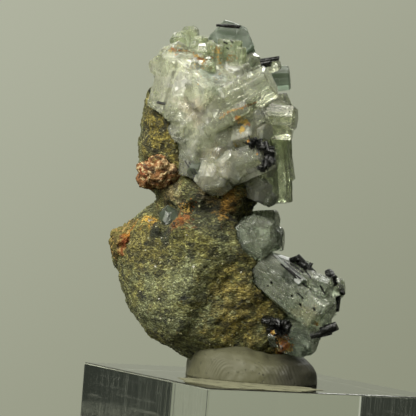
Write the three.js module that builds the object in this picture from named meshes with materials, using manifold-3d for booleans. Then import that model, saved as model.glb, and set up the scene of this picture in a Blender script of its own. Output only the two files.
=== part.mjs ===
// An aquamarine and schorl specimen on its rock, set in grey putty on a clear square display block.
// Millimetres, +Z up. The origin is the middle of the block's underside, and the block's sides follow X and Y.
import * as THREE from "three";
import { mergeVertices } from "three/addons/utils/BufferGeometryUtils.js";
import Module from "manifold-3d";

const wasm = await Module();
wasm.setup();

// Driving dimensions of the display block and of how the specimen stands on it.
const BLOCK_SIDE = 38;
const BLOCK_HEIGHT = 12.7;
const BLOCK_EDGE = 0.25;
const TURN_DEG = -28.3; // the specimen's front is turned from the block's front
const LEAN_DEG = 4.6; // the specimen leans a little to its left in the putty
const GAP = 0.25; // clearance between pieces that touch
const PUTTY_LIFT = 0.1; // clearance under the putty

const COLOURS = {
  rock: { color: 0x6f6e4a, roughness: 0.85, metalness: 0 },
  rust: { color: 0x8a4a2c, roughness: 0.8, metalness: 0 },
  aquamarine: { color: 0xb9c8b4, roughness: 0.12, metalness: 0 },
  schorl: { color: 0x0d0f0f, roughness: 0.3, metalness: 0 },
  putty: { color: 0x8c8a70, roughness: 0.7, metalness: 0 },
  acrylic: { color: 0xd9dccf, roughness: 0.05, metalness: 0 },
};
const materials = Object.fromEntries(
  Object.entries(COLOURS).map(([name, look]) => [name, new THREE.MeshStandardMaterial(look)]),
);

// Repeatable noise: a hash of a lattice point, smoothed between points.
function hash(x, y, z) {
  const s = Math.sin(x * 127.1 + y * 311.7 + z * 74.7) * 43758.5453;
  return s - Math.floor(s);
}

function noise(x, y, z) {
  const [i, j, k] = [x, y, z].map(Math.floor);
  const ease = (t) => t * t * (3 - 2 * t);
  const [u, v, w] = [ease(x - i), ease(y - j), ease(z - k)];
  const mix = THREE.MathUtils.lerp;
  const row = (b, c) => mix(hash(i, j + b, k + c), hash(i + 1, j + b, k + c), u);
  return 2 * mix(mix(row(0, 0), row(1, 0), v), mix(row(0, 1), row(1, 1), v), w) - 1;
}

// A three.js geometry as a solid, with shared corners merged and empty triangles dropped.
function solidOf(geometry) {
  const bare = geometry.clone();
  for (const name of Object.keys(bare.attributes)) if (name !== "position") bare.deleteAttribute(name);
  const merged = mergeVertices(bare, 1e-4);
  const index = merged.index.array;
  const kept = [];
  for (let i = 0; i < index.length; i += 3) {
    const [a, b, c] = [index[i], index[i + 1], index[i + 2]];
    if (a !== b && b !== c && c !== a) kept.push(a, b, c);
  }
  return new wasm.Manifold(
    new wasm.Mesh({
      numProp: 3,
      vertProperties: new Float32Array(merged.attributes.position.array),
      triVerts: new Uint32Array(kept),
    }),
  );
}

// The largest single body of a solid, its surface tidied to within a small distance, as a named mesh.
function meshOf(name, solid, material, tidyBy = 0.07) {
  const bodies = solid.simplify(tidyBy).decompose();
  const made = bodies.reduce((a, b) => (a.volume() > b.volume() ? a : b)).getMesh();
  const points = new Float32Array(made.numVert * 3);
  for (let i = 0; i < made.numVert; i++)
    points.set(made.vertProperties.subarray(i * made.numProp, i * made.numProp + 3), i * 3);
  const geometry = new THREE.BufferGeometry();
  geometry.setAttribute("position", new THREE.BufferAttribute(points, 3));
  geometry.setIndex(new THREE.BufferAttribute(made.triVerts, 1));
  geometry.computeVertexNormals();
  const mesh = new THREE.Mesh(geometry, material);
  mesh.name = name;
  return mesh;
}

const join = (solids) => solids.reduce((a, b) => a.add(b));

// The radius of an outline round its centre, smooth between its points.
function outlineRadius(centre, outline) {
  const polar = outline
    .map(([x, z]) => ({
      angle: Math.atan2(z - centre[2], x - centre[0]),
      radius: Math.hypot(x - centre[0], z - centre[2]),
    }))
    .sort((a, b) => a.angle - b.angle);
  return (angle) => {
    const next = polar.findIndex((p) => p.angle > angle);
    const b = next < 0 ? polar[0] : polar[next];
    const a = next <= 0 ? polar[polar.length - 1] : polar[next - 1];
    const turn = 2 * Math.PI;
    const span = (b.angle - a.angle + turn) % turn;
    const t = ((angle - a.angle + turn) % turn) / span;
    return THREE.MathUtils.lerp(a.radius, b.radius, t * t * (3 - 2 * t) * 0.5 + t * 0.5);
  };
}

// A rounded stone with a given outline seen from the front and given depths to its front and back.
// lumps: [{ size, height }] adds waves of that size; chips: [{ toward, reach }] splits off faces, which stay flat
// when crisp; grow swells it.
function stone({ centre, outline, front, back, detail, lumps = [], chips = [], crisp = false, roundness = 2.3, grow = 0 }) {
  const geometry = new THREE.IcosahedronGeometry(1, detail);
  const radiusAt = outlineRadius(centre, outline);
  const cuts = chips.map(({ toward, reach }) => ({ normal: new THREE.Vector3(...toward).normalize(), reach }));
  const place = geometry.attributes.position;
  const dir = new THREE.Vector3();
  for (let i = 0; i < place.count; i++) {
    dir.fromBufferAttribute(place, i).normalize();
    const flat = Math.hypot(dir.x, dir.z);
    const depth = dir.y < 0 ? front : back;
    const across = flat / radiusAt(Math.atan2(dir.z, dir.x));
    let r = (across ** roundness + (Math.abs(dir.y) / depth) ** roundness) ** (-1 / roundness);
    const chip = () => {
      for (const { normal, reach } of cuts) {
        const along = dir.dot(normal);
        if (along > 0.01) r = Math.min(r, reach / along);
      }
    };
    if (!crisp) chip();
    for (const { size, height } of lumps)
      r += height * noise((dir.x * r) / size + 31, (dir.y * r) / size + 17, (dir.z * r) / size + 5);
    if (crisp) chip();
    dir.multiplyScalar(r + grow);
    place.setXYZ(i, centre[0] + dir.x, centre[1] + dir.y, centre[2] + dir.z);
  }
  return solidOf(geometry);
}

// A prism from one point to another: sides is 6 for beryl and 3 or 6 for schorl, bevel cuts the rim of its end,
// flat presses it across one way, spin turns it about its axis, and grow makes it that much bigger all round.
function prism({ from, to, radius, sides = 6, bevel = 0.12, flat = 1, spin = 0, taper = 0.95, grow = 0 }) {
  const start = new THREE.Vector3(...from);
  const axis = new THREE.Vector3(...to).sub(start);
  const length = axis.length();
  axis.normalize();
  const wide = radius + grow / Math.cos(Math.PI / sides);
  const cut = Math.min(bevel * radius, length / 3);
  const profile = [
    [0, -grow],
    [wide, -grow],
    [wide * taper, length + grow - cut * 0.6],
    [wide * taper - cut, length + grow],
    [0, length + grow],
  ].map(([x, y]) => new THREE.Vector2(x, y));
  const geometry = new THREE.LatheGeometry(profile, sides);
  geometry.rotateY(THREE.MathUtils.degToRad(spin));
  geometry.scale(1, 1, flat);
  geometry.applyQuaternion(new THREE.Quaternion().setFromUnitVectors(new THREE.Vector3(0, 1, 0), axis));
  geometry.translate(...start.toArray());
  return solidOf(geometry);
}

const prisms = (list, grow = 0) => join(list.map((each) => prism({ ...each, grow })));

// Every place below is in the specimen's own frame: x to its right, y to its back and z up its height, from the
// middle of the block's top.

// The rock: a round lower nodule, a neck, and an upper slab that backs the upper crystals.
const NODULE = {
  centre: [-9.4, 0.5, 13.6],
  front: 11.5,
  back: 12.5,
  detail: 6,
  outline: [
    [1.6, 13.6],
    [3.1, 11.0],
    [4.4, 7.6],
    [3.9, 4.4],
    [0.6, 3.4],
    [-4.0, 2.9],
    [-8.2, 2.8],
    [-10.5, 3.2],
    [-12.2, 4.2],
    [-15.0, 6.0],
    [-16.7, 7.8],
    [-18.7, 10.6],
    [-19.4, 12.6],
    [-20.3, 15.4],
    [-21.3, 17.6],
    [-20.9, 19.5],
    [-19.3, 21.5],
    [-16.7, 24.0],
    [-14.6, 25.7],
    [-10.8, 26.4],
    [-6.6, 25.6],
    [-3.2, 23.2],
    [-0.9, 19.2],
    [0.5, 16.2],
  ],
  lumps: [
    { size: 3.4, height: 0.55 },
    { size: 1.5, height: 0.3 },
  ],
  roundness: 2.6,
  chips: [
    { toward: [-0.45, -1, 0.1], reach: 10.6 },
    { toward: [0.5, -1, -0.25], reach: 9.6 },
    { toward: [-0.3, 1, 0.3], reach: 10.8 },
    { toward: [0.7, 1, -0.2], reach: 11.2 },
    { toward: [-0.1, -0.8, 1], reach: 12.2 },
    { toward: [-0.2, -0.7, -1], reach: 10.6 },
  ],
};
const NECK = {
  centre: [-8.6, 1, 26.4],
  front: 8.2,
  back: 9.4,
  detail: 4,
  outline: [
    [-0.6, 26.5],
    [-2.2, 22.6],
    [-8.6, 20.4],
    [-14.0, 23.2],
    [-15.2, 25.6],
    [-14.6, 28.6],
    [-9.0, 31.5],
    [-3.0, 30.5],
  ],
  lumps: [
    { size: 2.2, height: 0.45 },
    { size: 1.0, height: 0.22 },
  ],
};
const SLAB = {
  centre: [-12.6, 3.5, 33.4],
  front: 9.6,
  back: 8.6,
  detail: 4,
  outline: [
    [-8.6, 33.4],
    [-8.4, 26.0],
    [-12.6, 24.6],
    [-15.6, 26.6],
    [-17.2, 29.4],
    [-17.3, 32.0],
    [-16.9, 35.4],
    [-16.9, 38.2],
    [-16.4, 41.0],
    [-13.2, 43.0],
    [-9.6, 42.0],
  ],
  lumps: [
    { size: 2.0, height: 0.5 },
    { size: 1.0, height: 0.3 },
  ],
};

// Iron stained feldspar: knobbly lumps set in the rock.
const PINK_FELDSPAR = {
  centre: [-14.7, -3.6, 29.2],
  front: 3.6,
  back: 2.6,
  detail: 3,
  outline: [
    [-17.7, 28.4],
    [-17.4, 29.9],
    [-16.1, 30.5],
    [-15.2, 31.7],
    [-13.6, 31.5],
    [-12.8, 30.5],
    [-11.9, 30.0],
    [-12.1, 28.6],
    [-13.4, 27.6],
    [-15.2, 27.4],
    [-16.8, 27.4],
  ],
  lumps: [{ size: 1.3, height: 0.5 }],
};
const ORANGE_FELDSPAR = {
  centre: [-18.4, -2.4, 19.8],
  front: 3.2,
  back: 3.0,
  detail: 3,
  outline: [
    [-21.1, 19.4],
    [-20.6, 20.9],
    [-19.2, 21.8],
    [-17.4, 22.8],
    [-15.6, 23.2],
    [-15.4, 22.0],
    [-16.5, 20.8],
    [-17.2, 19.2],
    [-18.0, 17.8],
    [-19.4, 17.2],
    [-20.7, 18.0],
  ],
  lumps: [{ size: 1.2, height: 0.45 }],
};

// The cloudy mass that the upper crystals grow from, broken into flat faces.
const ROOT = {
  centre: [-8.0, -1.0, 37.2],
  front: 10.8,
  back: 9.6,
  detail: 3,
  roundness: 2.6,
  outline: [
    [-0.4, 37.2],
    [-0.7, 33.6],
    [-1.2, 29.6],
    [-2.6, 27.4],
    [-5.4, 26.2],
    [-8.2, 26.2],
    [-10.3, 27.4],
    [-11.4, 30.4],
    [-12.2, 33.6],
    [-13.2, 36.6],
    [-16.1, 39.2],
    [-17.2, 41.4],
    [-16.3, 44.0],
    [-14.6, 46.2],
    [-12.4, 47.2],
    [-8.0, 46.6],
    [-4.0, 45.2],
    [-1.6, 42.0],
  ],
  lumps: [{ size: 3.2, height: 0.35 }],
  crisp: true,
  chips: [
    { toward: [-0.55, -1, 0.55], reach: 9.6 },
    { toward: [0.1, -1, 0.35], reach: 9.4 },
    { toward: [-0.35, -1, -0.35], reach: 9.3 },
    { toward: [0.55, -1, -0.2], reach: 9.2 },
    { toward: [-0.9, -0.5, 0.6], reach: 8.9 },
    { toward: [0.2, -0.6, 1], reach: 9.2 },
    { toward: [0.4, 0.8, 0.7], reach: 9.4 },
    { toward: [0.8, 0.7, -0.2], reach: 8.4 },
    { toward: [-0.3, 1, 0.5], reach: 9.2 },
    { toward: [1, -0.5, 0.1], reach: 8.6 },
    { toward: [1, 0.1, 0.6], reach: 8.2 },
  ],
};

// Crystals of the upper cluster, named by where they stand.
const UPPER = [
  // crown, from left to right
  { from: [-9.8, 1.0, 40.0], to: [-11.9, 1.4, 49.3], radius: 1.7, spin: 10, bevel: 0.5 },
  { from: [-9.0, 0.4, 40.0], to: [-10.4, 0.6, 50.1], radius: 1.45, spin: 35, bevel: 0.5 },
  { from: [-8.4, 0.0, 40.0], to: [-8.9, -0.6, 48.7], radius: 1.3, spin: 5, bevel: 0.3 },
  { from: [-10.4, -2.0, 38.0], to: [-13.3, -4.2, 47.2], radius: 2.2, spin: 5, bevel: 0.45 },
  { from: [-8.2, -2.0, 39.0], to: [-8.6, -5.0, 47.0], radius: 1.9, spin: 20 },
  { from: [-5.6, -1.0, 38.0], to: [-4.6, -3.4, 48.0], radius: 2.1, spin: 0, flat: 0.85 },
  { from: [-5.0, 6.4, 46.0], to: [-4.55, 1.2, 48.25], radius: 3.3, spin: 12, bevel: 0.12 },
  { from: [-4.0, 3.6, 41.0], to: [-1.2, 1.6, 46.2], radius: 1.35, spin: 15, bevel: 0.4 },
  // right side, from top to bottom
  { from: [-3.6, 0.6, 42.6], to: [2.3, -1.4, 44.7], radius: 0.95, spin: 25 },
  { from: [-3.2, 2.0, 42.2], to: [3.85, 1.4, 42.8], radius: 1.9, spin: 0 },
  { from: [-7.4, -7.4, 37.8], to: [1.0, -9.2, 42.1], radius: 2.75, spin: 18, bevel: 0.14 },
  { from: [-8.2, -9.4, 35.2], to: [-2.2, -10.6, 38.4], radius: 1.25, spin: 40 },
  { from: [-4.6, -1.4, 37.8], to: [4.65, -3.4, 37.1], radius: 2.15, spin: 8, bevel: 0.14 },
  { from: [-3.4, -1.2, 35.4], to: [4.0, -2.4, 34.8], radius: 1.6, spin: 20 },
  { from: [1.9, 0.4, 36.0], to: [2.55, -0.4, 25.1], radius: 2.0, spin: 30, bevel: 0.1, taper: 0.9 },
  { from: [1.9, 0.6, 34.0], to: [3.1, 0.2, 28.0], radius: 1.8, spin: 10, bevel: 0.2 },
  { from: [-0.4, 2.2, 34.0], to: [1.0, 1.4, 25.4], radius: 1.9, spin: 5 },
  // front, below the clear prism
  { from: [-6.6, -7.0, 29.8], to: [0.5, -10.4, 31.8], radius: 2.7, spin: 12, bevel: 0.12 },
  { from: [-5.8, -7.0, 34.2], to: [-0.9, -9.4, 35.6], radius: 1.9, spin: 33 },
  { from: [-6.6, -5.0, 32.0], to: [-6.4, -8.8, 26.4], radius: 2.5, spin: 22, bevel: 0.35 },
  { from: [-8.6, -5.0, 31.8], to: [-9.8, -9.0, 28.4], radius: 1.5, spin: 12 },
  { from: [-3.4, -0.6, 28.8], to: [0.1, -4.2, 26.1], radius: 2.15, spin: 16, bevel: 0.3 },
  // the cloudy front
  { from: [-7.0, -3.0, 36.0], to: [-12.6, -8.8, 42.0], radius: 2.5, spin: 9, bevel: 0.3 },
  { from: [-7.4, -3.0, 38.0], to: [-9.6, -8.6, 44.6], radius: 2.2, spin: 28, bevel: 0.26 },
  { from: [-7.6, -3.0, 35.0], to: [-13.0, -7.0, 38.0], radius: 2.1, spin: 17, bevel: 0.3 },
  { from: [-7.2, -4.0, 34.4], to: [-11.2, -9.8, 35.0], radius: 2.2, spin: 3, bevel: 0.22 },
  { from: [-7.0, -4.0, 35.4], to: [-7.9, -11.6, 38.6], radius: 2.3, spin: 11, bevel: 0.26 },
  { from: [-6.4, -4.0, 34.0], to: [-6.0, -11.4, 32.8], radius: 2.1, spin: 25, bevel: 0.24 },
  { from: [-12.0, -1.0, 40.0], to: [-14.7, -5.8, 43.2], radius: 2.1, spin: 21, bevel: 0.35 },
  // right, crown and back, hidden from the front
  { from: [-5.0, -3.0, 38.0], to: [-0.6, -7.2, 36.9], radius: 1.6, spin: 4 },
  { from: [-4.0, -3.0, 35.0], to: [0.6, -6.2, 34.0], radius: 1.6, spin: 24 },
  { from: [-3.5, -1.5, 31.8], to: [1.2, -4.6, 29.8], radius: 1.7, spin: 13 },
  { from: [-9.0, 4.0, 40.0], to: [-10.8, 6.2, 47.4], radius: 1.9, spin: 8 },
  { from: [-7.0, 4.0, 40.0], to: [-7.4, 8.6, 46.2], radius: 2.0, spin: 29 },
  { from: [-11.0, 2.0, 38.0], to: [-14.2, 4.4, 45.0], radius: 1.9, spin: 17 },
  { from: [-4.0, 2.0, 31.6], to: [2.2, 2.8, 30.6], radius: 1.9, spin: 3 },
  { from: [-4.4, 3.0, 36.0], to: [4.0, 4.0, 36.2], radius: 1.9, spin: 21 },
  { from: [-4.4, 3.0, 38.0], to: [3.6, 6.6, 38.8], radius: 2.3, spin: 14 },
  { from: [-4.4, 4.0, 34.0], to: [3.2, 7.4, 33.2], radius: 2.2, spin: 27 },
  { from: [-4.6, 4.0, 30.4], to: [2.0, 6.2, 28.2], radius: 2.0, spin: 6 },
  { from: [-5.4, 4.0, 41.0], to: [-0.4, 8.8, 44.6], radius: 2.1, spin: 33 },
  { from: [-6.4, 5.0, 36.0], to: [-0.8, 11.8, 37.2], radius: 2.5, spin: 19 },
  { from: [-8.6, 5.0, 37.0], to: [-8.4, 12.2, 39.4], radius: 2.4, spin: 2 },
];

// Crystals of the lower cluster, on the right of the rock.
const LOWER = [
  // the waist, just under the upper cluster
  { from: [-3.4, 1.6, 19.2], to: [-0.6, -7.4, 20.7], radius: 3.5, spin: 14, bevel: 0.3, taper: 0.94 },
  { from: [-4.4, 2.6, 22.0], to: [2.1, 0.4, 22.6], radius: 1.9, spin: 26, bevel: 0.2 },
  { from: [-3.6, 3.6, 20.0], to: [3.0, 2.6, 19.9], radius: 1.9, spin: 8 },
  { from: [-4.6, 4.0, 20.6], to: [0.9, 6.6, 21.4], radius: 2.2, spin: 20, bevel: 0.25 },
  // lying down to the right
  { from: [-0.6, -4.6, 16.2], to: [7.3, -6.8, 9.2], radius: 2.8, spin: 6, bevel: 0.2 },
  { from: [0.4, -1.6, 16.2], to: [9.5, -4.4, 13.0], radius: 2.4, spin: 22, bevel: 0.3 },
  { from: [2.4, -1.6, 12.8], to: [9.5, -5.2, 9.8], radius: 2.3, spin: 12, bevel: 0.3 },
  { from: [0.4, -0.4, 16.9], to: [6.5, -1.2, 15.0], radius: 1.5, spin: 0 },
  { from: [4.2, 0.4, 12.6], to: [11.5, -1.0, 13.1], radius: 1.75, spin: 30, bevel: 0.3 },
  { from: [4.2, 0.8, 11.4], to: [10.6, 0.2, 10.4], radius: 1.8, spin: 10, bevel: 0.3 },
  { from: [0.4, -3.6, 17.4], to: [5.0, -6.8, 13.6], radius: 1.4, spin: 18, bevel: 0.2 },
  { from: [-0.6, 1.6, 16.0], to: [6.8, 2.8, 15.2], radius: 1.9, spin: 33, bevel: 0.2 },
  { from: [0.6, 3.0, 13.6], to: [8.8, 3.6, 11.8], radius: 2.3, spin: 9, bevel: 0.2 },
  { from: [-0.6, 5.0, 13.6], to: [5.2, 7.8, 11.6], radius: 2.2, spin: 16 },
  { from: [0.4, 3.4, 10.4], to: [7.2, 3.2, 8.4], radius: 2.0, spin: 22 },
  { from: [1.4, -0.6, 9.6], to: [7.2, -0.4, 7.0], radius: 1.9, spin: 3 },
  // small clear ones at the foot
  { from: [1.4, -2.6, 6.8], to: [7.2, -5.2, 5.2], radius: 1.9, spin: 10, bevel: 0.3 },
  { from: [1.2, 0.6, 6.4], to: [5.2, 1.8, 5.0], radius: 1.6, spin: 28 },
];

// Schorl crystals, each set in the crystals or the rock that carry it.
const SCHORL = {
  schorl_cap: [
    { from: [-2.6, -12.0, 32.4], to: [0.7, -12.4, 33.4], radius: 0.8, spin: 10 },
    { from: [1.0, -11.4, 33.4], to: [0.2, -12.0, 29.8], radius: 0.95, spin: 30 },
    { from: [1.2, -10.4, 32.6], to: [-0.9, -12.2, 29.4], radius: 0.75, spin: 5 },
    { from: [-1.8, -12.4, 33.6], to: [0.2, -11.4, 32.6], radius: 0.5, sides: 3, spin: 20 },
  ],
  schorl_crown_blade: [{ from: [-6.6, 0.9, 50.1], to: [-3.1, 0.8, 50.05], radius: 0.42, sides: 3, spin: 40 }],
  schorl_shoulder_blade: [
    { from: [-0.4, -1.9, 45.1], to: [2.3, -2.4, 45.5], radius: 0.4, sides: 3, spin: 30 },
    { from: [-0.2, -1.7, 44.6], to: [1.3, -2.1, 44.9], radius: 0.6, spin: 0 },
  ],
  schorl_hook: [
    { from: [4.9, -1.6, 17.3], to: [6.8, -2.2, 15.3], radius: 0.8, spin: 15 },
    { from: [4.0, -1.4, 16.8], to: [5.2, -1.7, 17.3], radius: 0.5, spin: 0 },
  ],
  schorl_rim: [{ from: [10.1, -3.0, 13.8], to: [9.3, -3.6, 15.4], radius: 0.7, spin: 20 }],
  schorl_edge: [{ from: [10.7, -1.2, 11.9], to: [10.4, -2.4, 9.8], radius: 0.5, sides: 3, spin: 50 }],
  schorl_prism: [{ from: [6.8, -6.4, 6.8], to: [10.1, -7.2, 7.5], radius: 0.9, spin: 12 }],
  schorl_patch: [
    { from: [0.6, -6.0, 8.3], to: [2.6, -9.0, 7.3], radius: 1.8, spin: 25 },
    { from: [2.4, -5.0, 6.4], to: [3.2, -8.2, 5.2], radius: 1.5, spin: 5 },
  ],
  schorl_sliver: [{ from: [-14.8, -7.6, 39.1], to: [-13.6, -8.3, 38.8], radius: 0.28, sides: 3, spin: 0 }],
};

// The putty, level on the block, in the specimen's frame before it leans.
const PUTTY = {
  centre: [-1.8, -0.6, 1.9],
  front: 8.4,
  back: 8.0,
  detail: 4,
  roundness: 2.8,
  outline: [
    [7.4, 1.6],
    [7.1, 2.7],
    [4.6, 3.7],
    [0.6, 4.6],
    [-4.0, 5.3],
    [-8.2, 4.4],
    [-10.5, 2.7],
    [-10.9, 1.3],
    [-10.0, -0.6],
    [-4.0, -0.9],
    [2.0, -0.9],
    [7.2, -0.4],
  ],
  lumps: [{ size: 3.0, height: 0.3 }],
};

function putty(pressedBy) {
  const soft = stone(PUTTY);
  const belowTop = solidOf(new THREE.BoxGeometry(40, 40, 10).translate(0, 0, PUTTY_LIFT - 5));
  return soft.subtract(belowTop).subtract(pressedBy);
}

function block() {
  const half = BLOCK_SIDE / 2 - BLOCK_EDGE;
  const square = new THREE.Shape([
    new THREE.Vector2(-half, -half),
    new THREE.Vector2(half, -half),
    new THREE.Vector2(half, half),
    new THREE.Vector2(-half, half),
  ]);
  const geometry = new THREE.ExtrudeGeometry(square, {
    depth: BLOCK_HEIGHT - 2 * BLOCK_EDGE,
    bevelSize: BLOCK_EDGE,
    bevelThickness: BLOCK_EDGE,
    bevelSegments: 1,
  });
  geometry.translate(0, 0, BLOCK_EDGE);
  return solidOf(geometry);
}

// Joins, then cuts each piece by the ones that grow through it.
const leaning = new THREE.Matrix4().makeRotationY(-THREE.MathUtils.degToRad(LEAN_DEG));
const leaned = (solid) => solid.transform(leaning.elements);

const schorlGrown = prisms(Object.values(SCHORL).flat(), GAP);
const upper = stone(ROOT).add(prisms(UPPER));
const upperGrown = stone({ ...ROOT, grow: GAP }).add(prisms(UPPER, GAP));
const lower = prisms(LOWER).subtract(upperGrown);
const lowerGrown = prisms(LOWER, GAP);
const beryl = upperGrown.add(lowerGrown);
const pink = stone(PINK_FELDSPAR).subtract(beryl);
const orange = stone(ORANGE_FELDSPAR).subtract(beryl);
const grown = [beryl, schorlGrown, stone({ ...PINK_FELDSPAR, grow: GAP }), stone({ ...ORANGE_FELDSPAR, grow: GAP })];
const rock = join([stone(NODULE), stone(NECK), stone(SLAB)]).subtract(join(grown));
const pressing = leaned(stone({ ...NODULE, grow: GAP }).add(join([lowerGrown, schorlGrown])));

const specimen = new THREE.Group();
specimen.rotation.y = -THREE.MathUtils.degToRad(LEAN_DEG);
specimen.add(
  meshOf("matrix", rock, materials.rock, 0.12),
  meshOf("feldspar_pink", pink, materials.rust, 0.1),
  meshOf("feldspar_orange", orange, materials.rust, 0.1),
  meshOf("aquamarine_upper", upper.subtract(schorlGrown), materials.aquamarine),
  meshOf("aquamarine_lower", lower.subtract(schorlGrown), materials.aquamarine),
);
for (const [name, list] of Object.entries(SCHORL)) specimen.add(meshOf(name, prisms(list), materials.schorl, 0.01));

const onBlock = new THREE.Group();
onBlock.rotation.z = THREE.MathUtils.degToRad(TURN_DEG);
onBlock.position.z = BLOCK_HEIGHT;
onBlock.add(specimen, meshOf("putty", putty(pressing), materials.putty));

const whole = new THREE.Group();
whole.add(onBlock, meshOf("display_block", block(), materials.acrylic));

export default whole;
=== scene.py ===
"""Aquamarine and schorl on micaceous rock, held in grey putty on a clear display block.

Places of crystals and stones are in the specimen's own millimetres: x to its right, y to its back and z up, from
the middle of the block's top. Specimen.matrix turns them into the frame's metres.
"""

import logging
import math
import random
from dataclasses import dataclass, field
from enum import Enum

import bmesh
import bpy
from mathutils import Matrix, Vector, noise


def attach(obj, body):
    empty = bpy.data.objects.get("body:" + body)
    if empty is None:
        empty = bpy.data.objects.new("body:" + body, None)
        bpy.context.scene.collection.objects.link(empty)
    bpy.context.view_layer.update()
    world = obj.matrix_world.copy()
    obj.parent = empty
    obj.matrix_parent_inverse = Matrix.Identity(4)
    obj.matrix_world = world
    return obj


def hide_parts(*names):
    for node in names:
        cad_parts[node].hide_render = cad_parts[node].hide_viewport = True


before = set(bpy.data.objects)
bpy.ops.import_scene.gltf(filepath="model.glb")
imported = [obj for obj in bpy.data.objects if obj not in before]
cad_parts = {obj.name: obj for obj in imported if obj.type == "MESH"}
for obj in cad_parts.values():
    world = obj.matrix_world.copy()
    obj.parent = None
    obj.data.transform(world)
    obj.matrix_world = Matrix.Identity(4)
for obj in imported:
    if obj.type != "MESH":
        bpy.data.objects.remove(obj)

log = logging.getLogger("aquamarine")

MM = 0.001
Point = tuple[float, float, float]
Colour = tuple[float, float, float]
Pair = tuple[float, float]
Node, Socket, Tree = bpy.types.Node, bpy.types.NodeSocket, bpy.types.NodeTree
Material, Piece, Shape = bpy.types.Material, bpy.types.Object, bmesh.types.BMesh


# ---- frame of the specimen
@dataclass(frozen=True)
class Specimen:
    """How the specimen stands on its block.

    Attributes:
        turn: Turn of the specimen's front from the block's front, in degrees.
        lean: Lean to its own left in the putty, in degrees.
        block_height: Height of the block's top, in millimetres.
    """

    turn: float = -28.3
    lean: float = 4.6
    block_height: float = 12.7

    def level(self) -> Matrix:
        """Return the matrix from level millimetres on the block to the frame's metres."""
        turn = Matrix.Rotation(math.radians(self.turn), 4, "Z")
        return Matrix.Translation((0, 0, self.block_height * MM)) @ turn @ Matrix.Scale(MM, 4)

    def matrix(self) -> Matrix:
        """Return the matrix from the leaning specimen's millimetres to the frame's metres."""
        return self.level() @ Matrix.Rotation(-math.radians(self.lean), 4, "Y")


STAND = Specimen()


@dataclass(frozen=True)
class Tint:
    """A stained part of a stone; some tints are patches of painted light and painted shade instead.

    Attributes:
        centre: Its middle, in the specimen's millimetres.
        radius_mm: Its reach.
        ragged_mm: How far its edge wanders.
        colour: Its colour.
        share: How much of the stone it covers there.
    """

    centre: Point
    radius_mm: float
    ragged_mm: float
    colour: Colour
    share: float


def place(point: Point) -> Vector:
    """Return the frame's place, in metres, of a point in the specimen's millimetres."""
    return STAND.matrix() @ Vector(point)


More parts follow.
